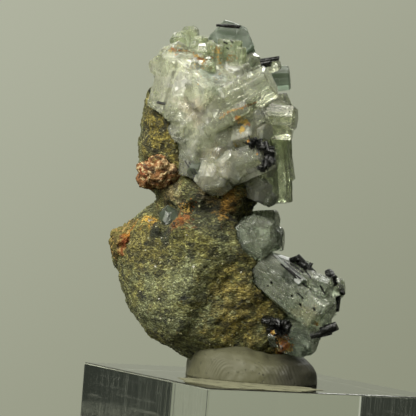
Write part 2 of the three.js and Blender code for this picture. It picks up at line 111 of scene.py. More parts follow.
# ---- node trees
class Desk:
    """Adds nodes to one tree and joins them.

    Args:
        tree: The node tree to build in.
    """

    def __init__(self, tree: Tree) -> None:
        """Keep the tree."""
        self.tree = tree

    def add(self, kind: str, props: dict | None = None, **inputs) -> Node:
        """Add a node.

        Args:
            kind: The node's type name without its ShaderNode prefix.
            props: Settings of the node itself.
            **inputs: Values or source sockets, by input name with spaces as underscores.

        Returns:
            The new node.
        """
        prefix = "" if kind.startswith("Node") else "ShaderNode"
        node = self.tree.nodes.new(prefix + kind)
        for key, value in (props or {}).items():
            setattr(node, key, value)
        for key, value in inputs.items():
            self.feed(node, key.replace("_", " "), value)
        return node

    def feed(self, node: Node, key: str | int, value: object) -> None:
        """Set or link one input.

        Args:
            node: The node that takes the value.
            key: The input's name or number.
            value: A plain value, or a socket to link from.
        """
        socket = node.inputs[key]
        if isinstance(value, Socket):
            self.tree.links.new(value, socket)
        elif isinstance(value, tuple) and len(value) == 3 and socket.type == "RGBA":
            socket.default_value = (*value, 1.0)
        else:
            socket.default_value = value

    def math(self, operation: str, *values: object, clamp: bool = False) -> Socket:
        """Return the result of a Math node on the values."""
        node = self.add("Math", {"operation": operation, "use_clamp": clamp})
        for i, value in enumerate(values):
            self.feed(node, i, value)
        return node.outputs[0]

    def times(self, first: object, second: object) -> Socket:
        """Return the product of two values."""
        return self.math("MULTIPLY", first, second)

    def plus(self, first: object, second: object) -> Socket:
        """Return the sum of two values."""
        return self.math("ADD", first, second)

    def less(self, first: object, second: object, clamp: bool = False) -> Socket:
        """Return the first value less the second."""
        return self.math("SUBTRACT", first, second, clamp=clamp)

    def vector(self, operation: str, *values: object) -> Node:
        """Return a Vector Math node on the values."""
        node = self.add("VectorMath", {"operation": operation})
        for i, value in enumerate(values):
            self.feed(node, i, value)
        return node

    def blend(self, share: object, first: object, second: object, kind: str = "MIX") -> Socket:
        """Return two colours blended by a share from 0 to 1."""
        node = self.add("Mix", {"data_type": "RGBA", "blend_type": kind})
        for key, value in ((0, share), (6, first), (7, second)):
            self.feed(node, key, value)
        return node.outputs[2]

    def span(self, value: object, low: float, high: float, to: Pair = (0.0, 1.0)) -> Socket:
        """Return the value eased from its low and high limits to a new range."""
        node = self.add("MapRange", {"interpolation_type": "SMOOTHSTEP"}, Value=value)
        for key, number in (("From Min", low), ("From Max", high), ("To Min", to[0]), ("To Max", to[1])):
            node.inputs[key].default_value = number
        return node.outputs[0]

    def place(self) -> Socket:
        """Return the place on the surface in Object coordinates, in metres."""
        return self.add("TexCoord").outputs["Object"]

    def stained(self, ground: Socket, spot: Socket, tints: tuple[Tint, ...]) -> Socket:
        """Return a colour with its stained parts, and any patches of painted light and shade, laid over it.

        Args:
            ground: The colour's socket.
            spot: The place on the surface.
            tints: The stained parts and painted patches, in order.

        Returns:
            The socket of the result.
        """
        for tint in tints:
            zone = self.zone(spot, tint.centre, tint.radius_mm, tint.ragged_mm)
            ground = self.blend(self.times(zone, tint.share), ground, tint.colour)
        return ground

    def group(self, tree: Tree, **inputs) -> Node:
        """Add a shared effect.

        Args:
            tree: The effect's node group.
            **inputs: Its values, by input name with spaces as underscores.

        Returns:
            The group's node.
        """
        return self.add("Group", {"node_tree": tree}, **inputs)

    def grains(self, spot: Socket, size_mm: float, ragged: float) -> Node:
        """Return packed mineral grains of a size."""
        return self.group(EFFECTS.grains, Vector=spot, Size_mm=size_mm, Ragged=ragged)

    def facets(self, spot: Socket, size_mm: float, ragged: float) -> Socket:
        """Return the height of small tilted faces of a size."""
        return self.group(EFFECTS.facets, Vector=spot, Size_mm=size_mm, Ragged=ragged).outputs[0]

    def mottle(self, spot: Socket, size_mm: float, low: float, high: float) -> Socket:
        """Return the mask of uneven patches of a size: fewer of them as the limits rise."""
        return self.group(EFFECTS.mottle, Vector=spot, Size_mm=size_mm, Low=low, High=high).outputs[0]

    def zone(self, spot: Socket, centre: Point, radius_mm: float, ragged_mm: float) -> Socket:
        """Return the mask of a ragged round patch about a point in the specimen's millimetres."""
        return self.group(
            EFFECTS.zone, Vector=spot, Centre=place(centre), Radius_mm=radius_mm, Ragged_mm=ragged_mm
        ).outputs[0]


class Effects:
    """The node groups that several finishes share. Each gives out only masks and heights."""

    @staticmethod
    def start(name: str, inputs: dict[str, float | str], outputs: list[str]) -> tuple[Desk, Node, Node]:
        """Open a new node group.

        Args:
            name: The group's name.
            inputs: Input names, each with a default number or the word vector.
            outputs: Names of the outputs, all numbers.

        Returns:
            A desk on the group, its input node and its output node.
        """
        tree = bpy.data.node_groups.new(name, "ShaderNodeTree")
        for key, value in inputs.items():
            kind = "NodeSocketVector" if value == "vector" else "NodeSocketFloat"
            socket = tree.interface.new_socket(key, in_out="INPUT", socket_type=kind)
            if value != "vector":
                socket.default_value = value
        for key in outputs:
            tree.interface.new_socket(key, in_out="OUTPUT", socket_type="NodeSocketFloat")
        desk = Desk(tree)
        return desk, desk.add("NodeGroupInput"), desk.add("NodeGroupOutput")

    @staticmethod
    def scale(desk: Desk, given: Node) -> Socket:
        """Return a pattern's scale, for the size in millimetres that the group is given."""
        return desk.math("DIVIDE", 1 / MM, given.outputs["Size mm"])

    @staticmethod
    def ruffled(desk: Desk, spot: Socket, scale: Socket, pace: float, detail: float, ragged: object) -> Socket:
        """Return a place moved about by noise, so that cells drawn on it get ragged edges.

        Args:
            desk: The group's desk.
            spot: The place on the surface.
            scale: The cells' scale.
            pace: The noise's scale against the cells'.
            detail: The noise's detail.
            ragged: How far the places move, as a share of a cell.

        Returns:
            The moved place.
        """
        wobble = desk.add("TexNoise", Vector=spot, Scale=desk.times(scale, pace), Detail=detail)
        offset = desk.vector("SCALE", wobble.outputs["Color"])
        desk.feed(offset, "Scale", desk.math("DIVIDE", ragged, scale))
        return desk.vector("ADD", spot, offset.outputs[0]).outputs[0]

    def __init__(self) -> None:
        """Build every group once."""
        self.grains = self.build_grains()
        self.mottle = self.build_mottle()
        self.zone = self.build_zone()
        self.cracks = self.build_cracks()
        self.facets = self.build_facets()

    def build_grains(self) -> Tree:
        """Return packed mineral grains: a random number for each grain, and its rounded height."""
        inputs = {"Vector": "vector", "Size mm": 0.5, "Ragged": 0.35}
        desk, given, out = self.start("packed_grains", inputs, ["Pick", "Height"])
        scale = self.scale(desk, given)
        moved = self.ruffled(desk, given.outputs["Vector"], scale, 1.7, 1.0, given.outputs["Ragged"])
        cells = desk.add("TexVoronoi", {"feature": "F1"}, Vector=moved, Scale=scale)
        pick = desk.add("SeparateColor", Color=cells.outputs["Color"])
        desk.feed(out, "Pick", pick.outputs[0])
        desk.feed(out, "Height", desk.span(cells.outputs["Distance"], 0.0, 0.75, (1.0, 0.0)))
        return desk.tree

    def build_mottle(self) -> Tree:
        """Return soft uneven patches of a given size."""
        inputs = {"Vector": "vector", "Size mm": 3.0, "Low": 0.35, "High": 0.65}
        desk, given, out = self.start("uneven_patches", inputs, ["Mask"])
        scale = self.scale(desk, given)
        cloud = desk.add("TexNoise", Vector=given.outputs["Vector"], Scale=scale, Detail=4.0, Roughness=0.6)
        node = desk.add("MapRange", {"interpolation_type": "SMOOTHSTEP"}, Value=cloud.outputs["Fac"])
        desk.feed(node, "From Min", given.outputs["Low"])
        desk.feed(node, "From Max", given.outputs["High"])
        desk.feed(out, "Mask", node.outputs[0])
        return desk.tree

    def build_zone(self) -> Tree:
        """Return a ragged round patch about a place."""
        inputs = {"Vector": "vector", "Centre": "vector", "Radius mm": 3.0, "Ragged mm": 1.5}
        desk, given, out = self.start("stained_patch", inputs, ["Mask"])
        away = desk.vector("DISTANCE", given.outputs["Vector"], given.outputs["Centre"]).outputs["Value"]
        ragged = desk.add("TexNoise", Vector=given.outputs["Vector"], Scale=620.0, Detail=4.0, Roughness=0.65)
        swing = desk.less(ragged.outputs["Fac"], 0.5)
        swing = desk.times(swing, desk.times(given.outputs["Ragged mm"], 4 * MM))
        reach = desk.plus(away, swing)
        edge = desk.times(given.outputs["Radius mm"], MM)
        inside = desk.math("DIVIDE", desk.less(edge, reach), desk.times(edge, 0.5))
        desk.feed(out, "Mask", desk.math("MINIMUM", desk.math("MAXIMUM", inside, 0.0), 1.0))
        return desk.tree

    def build_cracks(self) -> Tree:
        """Return fine healed cracks: a mask that is high along their lines."""
        desk, given, out = self.start("healed_cracks", {"Vector": "vector", "Size mm": 2.5, "Width": 0.05}, ["Mask"])
        scale = self.scale(desk, given)
        moved = self.ruffled(desk, given.outputs["Vector"], scale, 1.3, 3.0, 0.9)
        cells = desk.add("TexVoronoi", {"feature": "DISTANCE_TO_EDGE"}, Vector=moved, Scale=scale)
        share = desk.math("DIVIDE", cells.outputs["Distance"], given.outputs["Width"])
        desk.feed(out, "Mask", desk.less(1.0, share, clamp=True))
        return desk.tree

    def build_facets(self) -> Tree:
        """Return small flat faces, each tilted its own way: a height that rises and falls by about half."""
        desk, given, out = self.start("tilted_faces", {"Vector": "vector", "Size mm": 0.8, "Ragged": 0.5}, ["Height"])
        scale = self.scale(desk, given)
        moved = self.ruffled(desk, given.outputs["Vector"], scale, 0.8, 2.0, given.outputs["Ragged"])
        cells = desk.add("TexVoronoi", {"feature": "F1"}, Vector=moved, Scale=scale)
        away = desk.vector("SUBTRACT", moved, cells.outputs["Position"])
        away = desk.vector("SCALE", away.outputs[0])
        desk.feed(away, "Scale", scale)
        lean = desk.vector("SUBTRACT", cells.outputs["Color"], Vector((0.5, 0.5, 0.5)))
        desk.feed(out, "Height", desk.vector("DOT_PRODUCT", away.outputs[0], lean.outputs[0]).outputs["Value"])
        return desk.tree


EFFECTS = Effects()


class Finish:
    """One named material with a Principled surface.

    Args:
        name: The material's name.
    """

    def __init__(self, name: str) -> None:
        """Make an empty material with its Principled shader."""
        self.material = bpy.data.materials.new(name)
        self.material.use_nodes = True
        self.material.node_tree.nodes.clear()
        self.desk = Desk(self.material.node_tree)
        self.shader = self.desk.add("BsdfPrincipled")
        self.output = self.desk.add("OutputMaterial")
        self.desk.feed(self.output, "Surface", self.shader.outputs[0])

    @classmethod
    def begin(cls, name: str) -> tuple["Finish", Desk, Socket]:
        """Return a new finish, its desk and the place on the surface."""
        look = cls(name)
        return look, look.desk, look.desk.place()

    def set(self, **values) -> None:
        """Set or link the shader's sockets, by name with spaces as underscores."""
        for key, value in values.items():
            self.desk.feed(self.shader, key.replace("_", " "), value)

    def relief(self, height: Socket, depth_mm: float, strength: float = 1.0) -> None:
        """Raise the surface by a height that runs from 0 to 1.

        Args:
            height: The height's socket.
            depth_mm: How far 1 stands above 0, in millimetres.
            strength: Share of the effect.
        """
        bump = self.desk.add("Bump", Height=height, Distance=depth_mm * MM, Strength=strength)
        self.set(Normal=bump.outputs[0])

    def absorb(self, colour: Colour, density: float) -> None:
        """Tint what passes through the piece by plain absorption.

        Args:
            colour: The colour that is let through.
            density: Strength for each metre.
        """
        node = self.desk.add("VolumeAbsorption", Color=colour, Density=density)
        self.desk.feed(self.output, "Volume", node.outputs[0])


# ---- finishes
@dataclass(frozen=True)
class Rock:
    """Fine grained micaceous rock, greenish grey, with dark and pale streaks, ochre and rust.

    Attributes:
        grey: The ground's colour.
        olive: Its colour in large patches.
        pale_glint: How much brighter the pale grains are: partly their own paler colour, partly painted glints of
            mica that catch the light.
        dark: Dark grains and spots, and the painted shade in the slab's pits.
        grain_mm: Size of the grains.
        lie: Turn of the mica's layers, in radians.
        stretch: Scale of the grain along, across and up the layers.
        slab: The ochre upper slab, whose pits get painted shade.
        tints: Stained parts, in order.
    """

    grey: Colour = (0.132, 0.138, 0.058)
    olive: Colour = (0.115, 0.106, 0.026)
    pale_glint: Colour = (2.0, 2.1, 2.7)
    dark: Colour = (0.014, 0.016, 0.010)
    grain_mm: float = 0.17
    lie: Point = (0.3, -0.5, 0.4)
    stretch: Point = (0.55, 1.0, 1.25)
    slab: Tint = Tint((-14.8, -5.0, 36.0), 7.0, 3.0, (0.165, 0.128, 0.020), 0.85)
    tints: tuple[Tint, ...] = (
        Tint((-17.0, -6.0, 19.5), 5.5, 3.5, (0.125, 0.104, 0.024), 0.8),
        Tint((-1.5, -10.0, 10.0), 7.4, 4.0, (0.38, 0.285, 0.066), 0.56),
        Tint((-4.5, -12.0, 21.2), 2.6, 3.0, (0.045, 0.044, 0.018), 0.8),
        Tint((-0.2, -10.0, 17.2), 2.0, 2.5, (0.040, 0.044, 0.020), 0.8),
        slab,
        Tint((-7.5, -7.0, 24.6), 5.5, 4.0, (0.034, 0.036, 0.015), 0.92),
        Tint((-4.2, -8.2, 25.6), 3.4, 2.0, (0.40, 0.21, 0.034), 0.76),
        Tint((-8.0, -8.0, 27.4), 2.4, 2.2, (0.24, 0.19, 0.09), 0.7),
        Tint((-10.6, -9.0, 25.0), 1.5, 1.6, (0.24, 0.08, 0.012), 0.9),
        Tint((-11.6, -9.0, 23.2), 2.1, 1.6, (0.21, 0.066, 0.011), 0.9),
        Tint((-13.6, -6.0, 27.0), 3.0, 2.0, (0.24, 0.17, 0.07), 0.6),
        Tint((-16.0, -7.0, 23.2), 1.6, 1.6, (0.45, 0.25, 0.03), 0.9),
        Tint((-14.2, -8.0, 21.0), 1.8, 1.8, (0.022, 0.026, 0.014), 0.9),
        Tint((-2.0, -11.0, 20.5), 2.6, 3.0, (0.030, 0.034, 0.018), 0.8),
        Tint((2.4, -9.0, 6.0), 2.4, 1.6, (0.10, 0.045, 0.012), 0.8),
    )

    def material(self) -> Material:
        """Return the rock's material."""
        look, desk, spot = Finish.begin("micaceous_rock")
        along = desk.add("Mapping", Vector=spot, Rotation=self.lie, Scale=self.stretch).outputs[0]
        grains = desk.grains(along, self.grain_mm, 0.9)
        pick = grains.outputs["Pick"]
        streaks = desk.span(desk.mottle(along, 0.85, 0.3, 0.7), 0.0, 1.0, (0.62, 1.3))
        fibres = desk.mottle(along, 0.36, 0.36, 0.64)

        # greenish ground with its stains, dark grains, and pale grains brightened by painted mica glints
        ground = desk.blend(desk.mottle(spot, 5.0, 0.38, 0.62), self.grey, self.olive)
        ground = desk.stained(ground, spot, self.tints)
        # painted glints: the pale grains are lifted as if their mica caught the light
        glinting = desk.blend(1.0, ground, self.pale_glint, "MULTIPLY")
        ground = desk.blend(desk.span(pick, 0.72, 0.9), ground, glinting)
        ground = desk.blend(desk.times(desk.span(pick, 0.22, 0.12), 0.6), ground, self.dark)

        # dark spots and flecks all over, and on the upper slab pits darkened with painted shade
        dirt = desk.times(desk.mottle(along, 1.5, 0.585, 0.66), 0.9)
        flecks = desk.times(desk.span(desk.grains(along, 0.9, 0.8).outputs["Pick"], 0.18, 0.12), 0.6)
        slab = desk.times(desk.zone(spot, self.slab.centre, self.slab.radius_mm, 1.0), 0.82)
        shaded_pits = desk.times(desk.mottle(spot, 1.1, 0.50, 0.57), slab)
        # dirt: the dark spots and flecks, with the painted shade of the slab's pits
        dirt = desk.math("MAXIMUM", desk.math("MAXIMUM", dirt, flecks), shaded_pits)
        ground = desk.blend(dirt, ground, self.dark)

        # streaks and fibres of mica
        shade = desk.times(streaks, desk.span(fibres, 0.0, 1.0, (0.7, 1.3)))
        shade = desk.add("CombineColor", Red=shade, Green=shade, Blue=shade).outputs[0]
        ground = desk.blend(1.0, ground, shade, "MULTIPLY")
        height = desk.plus(desk.times(grains.outputs["Height"], 0.4), fibres)
        look.set(Base_Color=ground, Roughness=desk.span(pick, 0.6, 0.95, (0.78, 0.38)), Specular_IOR_Level=0.4)
        look.relief(desk.less(height, desk.times(dirt, 0.8)), 0.14)
        return look.material


@dataclass(frozen=True)
class Feldspar:
    """Iron stained feldspar, from pinkish brown to orange, with dark seams.

    Attributes:
        name: The material's name.
        body: The stone's colour.
        stain: Its colour in patches.
        pale: The pale grains.
        tints: Stained parts, in order.
        seam: The dark seams.
    """

    name: str
    body: Colour
    stain: Colour
    pale: Colour
    tints: tuple[Tint, ...]
    seam: Colour = (0.03, 0.016, 0.008)

    def material(self) -> Material:
        """Return the feldspar's material."""
        look, desk, spot = Finish.begin(self.name)
        grains = desk.grains(spot, 0.32, 0.8)
        pick = grains.outputs["Pick"]
        seams = desk.mottle(spot, 0.9, 0.52, 0.64)
        colour = desk.stained(desk.blend(desk.mottle(spot, 1.5, 0.38, 0.62), self.body, self.stain), spot, self.tints)
        colour = desk.blend(desk.span(pick, 0.68, 0.9), colour, self.pale)
        colour = desk.blend(desk.times(seams, 0.8), colour, self.seam)
        look.set(Base_Color=colour, Roughness=desk.span(pick, 0.3, 1.0, (0.9, 0.6)), Specular_IOR_Level=0.3)
        look.relief(desk.less(grains.outputs["Height"], seams), 0.14, 0.9)
        return look.material


class Water(Enum):
    """How clear a crystal is, from gem clear to cloudy."""

    CLEAR = "clear"
    GREEN = "green"
    SMOKY = "smoky"
    CLOUDY = "cloudy"
    BLUISH = "bluish"
    MILKY = "milky"


@dataclass(frozen=True)
class Beryl:
    """Aquamarine of one clarity.

    Attributes:
        water: The clarity.
        through: Colour that the depth of the crystal lets through.
        depth: Strength of that tint for each metre.
        skin: Colour at the surface.
        clouds: Colour of cloudy patches in the surface.
        clarity: Share of light that passes the surface.
        rough: Least and most roughness of the faces.
        etch_mm: Depth of the etched relief.
        face_mm: Size of the small faces that the etching left.
        coat: Share of polished surface over a cloudy body.
        tints: Parts of another colour, some of them painted light and painted shade.
        ior: Index of refraction.
    """

    water: Water
    through: Colour
    depth: float
    skin: Colour
    clouds: Colour
    clarity: float
    rough: Pair
    etch_mm: float
    face_mm: float = 0.9
    coat: float = 0.3
    tints: tuple[Tint, ...] = ()
    ior: float = 1.575

    def material(self) -> Material:
        """Return the crystal's material."""
        look, desk, spot = Finish.begin(f"aquamarine_{self.water.value}")
        dust = desk.mottle(spot, 1.7, 0.5, 0.72)
        skin = desk.blend(desk.mottle(spot, 3.4, 0.36, 0.64), self.skin, self.clouds)
        colour = desk.stained(skin, spot, self.tints)
        etched = desk.span(desk.mottle(spot, 2.4, 0.35, 0.6), 0.0, 1.0, (0.25, 1.0))
        cracks = desk.group(EFFECTS.cracks, Vector=spot, Size_mm=2.6, Width=0.035).outputs[0]
        height = desk.times(desk.facets(spot, self.face_mm, 0.6), etched)
        height = desk.less(height, desk.times(cracks, 0.25))
        height = desk.plus(height, desk.times(desk.facets(spot, self.face_mm * 0.3, 0.5), 0.28))
        look.set(
            Base_Color=colour, Roughness=desk.span(dust, 0.0, 1.0, self.rough), IOR=self.ior,
            Transmission_Weight=self.clarity, Coat_Weight=self.coat, Coat_Roughness=0.12, Coat_IOR=self.ior,
            Subsurface_Weight=0.6, Subsurface_Radius=(1.0, 1.0, 0.85), Subsurface_Scale=2.2 * MM,
        )
        look.relief(height, self.etch_mm)
        look.absorb(self.through, self.depth)
        return look.material


CLOUD_TINTS = (
    Tint((-9.6, -9.0, 38.2), 2.6, 2.5, (0.86, 0.78, 0.64), 0.7),
    Tint((-6.4, -9.0, 31.0), 2.2, 2.5, (0.80, 0.72, 0.52), 0.7),
    Tint((-7.6, -8.0, 42.4), 2.6, 2.0, (0.62, 0.72, 0.68), 0.7),
    Tint((-11.0, -7.6, 33.0), 2.0, 2.0, (0.38, 0.42, 0.34), 0.5),
    Tint((-11.6, -7.6, 42.2), 1.8, 1.5, (0.97, 0.97, 0.92), 0.8),
    Tint((-12.5, -6.0, 46.8), 2.2, 1.5, (0.90, 0.93, 0.80), 0.7),
    Tint((-6.4, -8.0, 28.6), 2.6, 2.0, (0.93, 0.91, 0.76), 0.8),
)
# painted light: whiter patches over the neck crystal and over the downward lower ends at the bottom left, lifting
# them out of their shade
MILKY_PAINTED_LIGHT = (
    Tint((0.4, -5.0, 26.2), 3.6, 1.2, (0.97, 0.97, 0.86), 0.95),
    Tint((-7.8, -8.6, 27.2), 3.0, 1.5, (0.97, 0.95, 0.80), 0.9),
)
# stains of the bluish crystals, and one patch of painted shade
BLUISH_TINTS_AND_SHADE = (
    Tint((5.6, -8.6, 9.4), 1.8, 2.5, (0.58, 0.53, 0.34), 0.7),
    Tint((-0.6, -7.6, 22.4), 1.6, 2.0, (0.74, 0.76, 0.66), 0.6),
    Tint((2.2, -7.4, 13.0), 1.6, 2.5, (0.56, 0.58, 0.48), 0.6),
    Tint((3.6, -6.6, 15.2), 1.4, 2.0, (0.08, 0.105, 0.07), 0.8),
    Tint((7.6, -6.0, 13.6), 1.0, 1.6, (0.16, 0.19, 0.14), 0.6),
    # painted shade: a darker patch over the foot crystals, which lie in shade
    Tint((5.0, -6.0, 5.2), 3.4, 1.5, (0.24, 0.29, 0.24), 0.7),
    Tint((2.0, -4.6, 20.6), 2.2, 1.2, (0.16, 0.20, 0.16), 0.6),
)
BERYLS = (
    Beryl(
        Water.CLEAR, (0.88, 0.93, 0.72), 24.0, (0.76, 0.79, 0.60), (0.93, 0.95, 0.80), 0.90, (0.03, 0.20), 0.08,
        face_mm=1.5,
    ),
    Beryl(Water.GREEN, (0.78, 0.87, 0.58), 42.0, (0.54, 0.60, 0.40), (0.74, 0.79, 0.58), 0.84, (0.08, 0.32), 0.11),
    Beryl(
        Water.SMOKY, (0.50, 0.66, 0.56), 100.0, (0.18, 0.225, 0.17), (0.27, 0.325, 0.25), 0.80, (0.28, 0.5), 0.08,
        face_mm=1.8, coat=0.05,
    ),
    Beryl(
        Water.CLOUDY, (0.95, 0.97, 0.85), 12.0, (0.93, 0.94, 0.78), (0.70, 0.73, 0.55), 0.84, (0.10, 0.34), 0.22,
        coat=0.08, tints=CLOUD_TINTS,
    ),
    Beryl(
        Water.MILKY, (0.95, 0.97, 0.85), 12.0, (0.46, 0.50, 0.40), (0.90, 0.88, 0.70), 0.70, (0.10, 0.36), 0.30,
        coat=0.06, tints=MILKY_PAINTED_LIGHT,
    ),
    Beryl(
        Water.BLUISH, (0.72, 0.84, 0.72), 60.0, (0.35, 0.39, 0.30), (0.60, 0.64, 0.50), 0.82, (0.16, 0.42), 0.22,
        face_mm=0.7, coat=0.12, tints=BLUISH_TINTS_AND_SHADE,
    ),
)


@dataclass(frozen=True)
class Cloud:
    """The cloudiness deep in the crystals' root, white to beige, seen through their clear outer parts."""

    white: Colour = (0.96, 0.96, 0.86)
    grey: Colour = (0.80, 0.82, 0.70)

    def material(self) -> Material:
        """Return the cloud's material."""
        look, desk, spot = Finish.begin("aquamarine_cloud")
        fine = desk.mottle(spot, 0.8, 0.3, 0.7)
        clouded = desk.blend(desk.mottle(spot, 3.0, 0.36, 0.64), self.white, self.grey)
        colour = desk.stained(clouded, spot, CLOUD_TINTS)
        colour = desk.blend(desk.times(fine, 0.35), colour, self.grey)
        wisps = desk.span(desk.mottle(spot, 1.8, 0.34, 0.62), 0.0, 1.0, (0.2, 0.95))
        look.set(Base_Color=colour, Roughness=0.8, Alpha=wisps)
        look.relief(fine, 0.15)
        return look.material


@dataclass(frozen=True)
class Veil:
    """Healed fracture sheets inside the crystals: broken white wisps that catch the light."""

    white: Colour = (0.86, 0.88, 0.80)
    cover: float = 0.55

    def material(self) -> Material:
        """Return the veils' material."""
        look, desk, spot = Finish.begin("healed_fracture_veil")
        wisps = desk.mottle(spot, 1.1, 0.46, 0.72)
        look.set(Base_Color=self.white, Roughness=0.35, Alpha=desk.times(wisps, self.cover))
        look.relief(wisps, 0.1)
        return look.material


@dataclass(frozen=True)
class Tourmaline:
    """Black schorl with a vitreous surface, worn and dusty in patches."""

    black: Colour = (0.003, 0.0032, 0.003)
    worn: Colour = (0.010, 0.011, 0.009)

    def material(self) -> Material:
        """Return the schorl's material."""
        look, desk, spot = Finish.begin("schorl_black")
        dust = desk.mottle(spot, 0.8, 0.5, 0.75)
        look.set(
            Base_Color=desk.blend(dust, self.black, self.worn), Roughness=desk.span(dust, 0.0, 1.0, (0.22, 0.55)),
            IOR=1.5, Specular_IOR_Level=0.28,
        )
        look.relief(desk.grains(spot, 0.4, 0.8).outputs["Height"], 0.03)
        return look.material


@dataclass(frozen=True)
class IronStain:
    """Thin crusts of yellow to rusty iron oxide in the seams."""

    yellow: Colour = (0.40, 0.27, 0.055)
    rust: Colour = (0.20, 0.065, 0.010)

    def material(self) -> Material:
        """Return the stain's material."""
        look, desk, spot = Finish.begin("iron_stain")
        look.set(Base_Color=desk.blend(desk.mottle(spot, 1.4, 0.38, 0.6), self.yellow, self.rust), Roughness=0.7)
        look.relief(desk.grains(spot, 0.25, 0.6).outputs["Height"], 0.06)
        return look.material


@dataclass(frozen=True)
class MicaFlake:
    """Small mica plates, silvery to brownish, with a pearly shine."""

    silver: Colour = (0.20, 0.195, 0.10)
    brown: Colour = (0.085, 0.072, 0.025)

    def material(self) -> Material:
        """Return the flakes' material."""
        look, desk, spot = Finish.begin("mica_flakes")
        pick = desk.grains(spot, 0.8, 0.2).outputs["Pick"]
        look.set(
            Base_Color=desk.blend(desk.span(pick, 0.35, 0.75), self.brown, self.silver),
            Roughness=desk.span(pick, 0.0, 1.0, (0.25, 0.5)), Specular_IOR_Level=0.6,
        )
        return look.material


@dataclass(frozen=True)
class Putty:
    """Grey mineral putty with the fine ridges of pressed fingers.

    Attributes:
        grey: The putty's colour.
        dirt: Its colour where it is handled.
        speck: Small dark specks.
        tints: Painted shade over its right end.
        ridge_mm: Distance between the ridges.
        swirl: Middle of the ridges' rings, in the specimen's millimetres.
    """

    grey: Colour = (0.086, 0.084, 0.044)
    dirt: Colour = (0.056, 0.054, 0.029)
    speck: Colour = (0.022, 0.021, 0.013)
    # painted shade: a dark patch over the right end, where the wad lies in the crystals' shade
    tints: tuple[Tint, ...] = (Tint((6.4, -6.4, 0.8), 7.6, 1.2, (0.022, 0.021, 0.013), 0.92),)
    ridge_mm: float = 0.48
    swirl: Point = (-3.0, -11.5, 2.5)

    def ridges(self, desk: Desk, spot: Socket) -> Socket:
        """Return the height of the finger ridges, where fingers pressed."""
        bent = desk.add("TexNoise", Vector=spot, Scale=110.0, Detail=1.0)
        offset = desk.vector("SCALE", bent.outputs["Color"])
        offset.inputs["Scale"].default_value = 0.006
        moved = desk.vector("ADD", spot, offset.outputs[0]).outputs[0]
        rings = desk.add(
            "TexWave", {"wave_type": "RINGS", "rings_direction": "SPHERICAL", "wave_profile": "SIN"},
            Vector=desk.add("Mapping", Vector=moved, Location=tuple(-place(self.swirl))).outputs[0],
            Scale=math.tau / (20 * self.ridge_mm * MM), Distortion=1.5, Detail=1.0,
        )
        return desk.times(rings.outputs["Fac"], desk.mottle(spot, 3.5, 0.38, 0.55))

    def material(self) -> Material:
        """Return the putty's material."""
        look, desk, spot = Finish.begin("mineral_putty")
        patches = desk.mottle(spot, 6.0, 0.35, 0.7)
        specks = desk.mottle(spot, 0.55, 0.62, 0.68)
        colour = desk.blend(desk.times(patches, 0.35), self.grey, self.dirt)
        colour = desk.blend(desk.times(specks, 0.75), colour, self.speck)
        # lay the painted shade over the right end
        colour = desk.stained(colour, spot, self.tints)
        look.set(Base_Color=colour, Roughness=desk.span(patches, 0.0, 1.0, (0.55, 0.7)))
        look.relief(desk.less(self.ridges(desk, spot), desk.times(specks, 2.0)), 0.022)
        return look.material


@dataclass(frozen=True)
class SmearAndReflection:
    """The thin film of putty and dust on the block's top, broken and partly see-through; its tan also paints the
    wad's reflection in the polished top.
    """

    # tan of the film, partly putty and partly painted reflection of the wad
    tan: Colour = (0.172, 0.170, 0.104)

    def material(self) -> Material:
        """Return the film's material."""
        look, desk, spot = Finish.begin("putty_smear")
        patches = desk.mottle(spot, 2.2, 0.3, 0.6)
        look.set(Base_Color=self.tan, Roughness=0.9, Alpha=desk.span(patches, 0.0, 1.0, (0.5, 0.9)))
        look.relief(patches, 0.02)
        return look.material


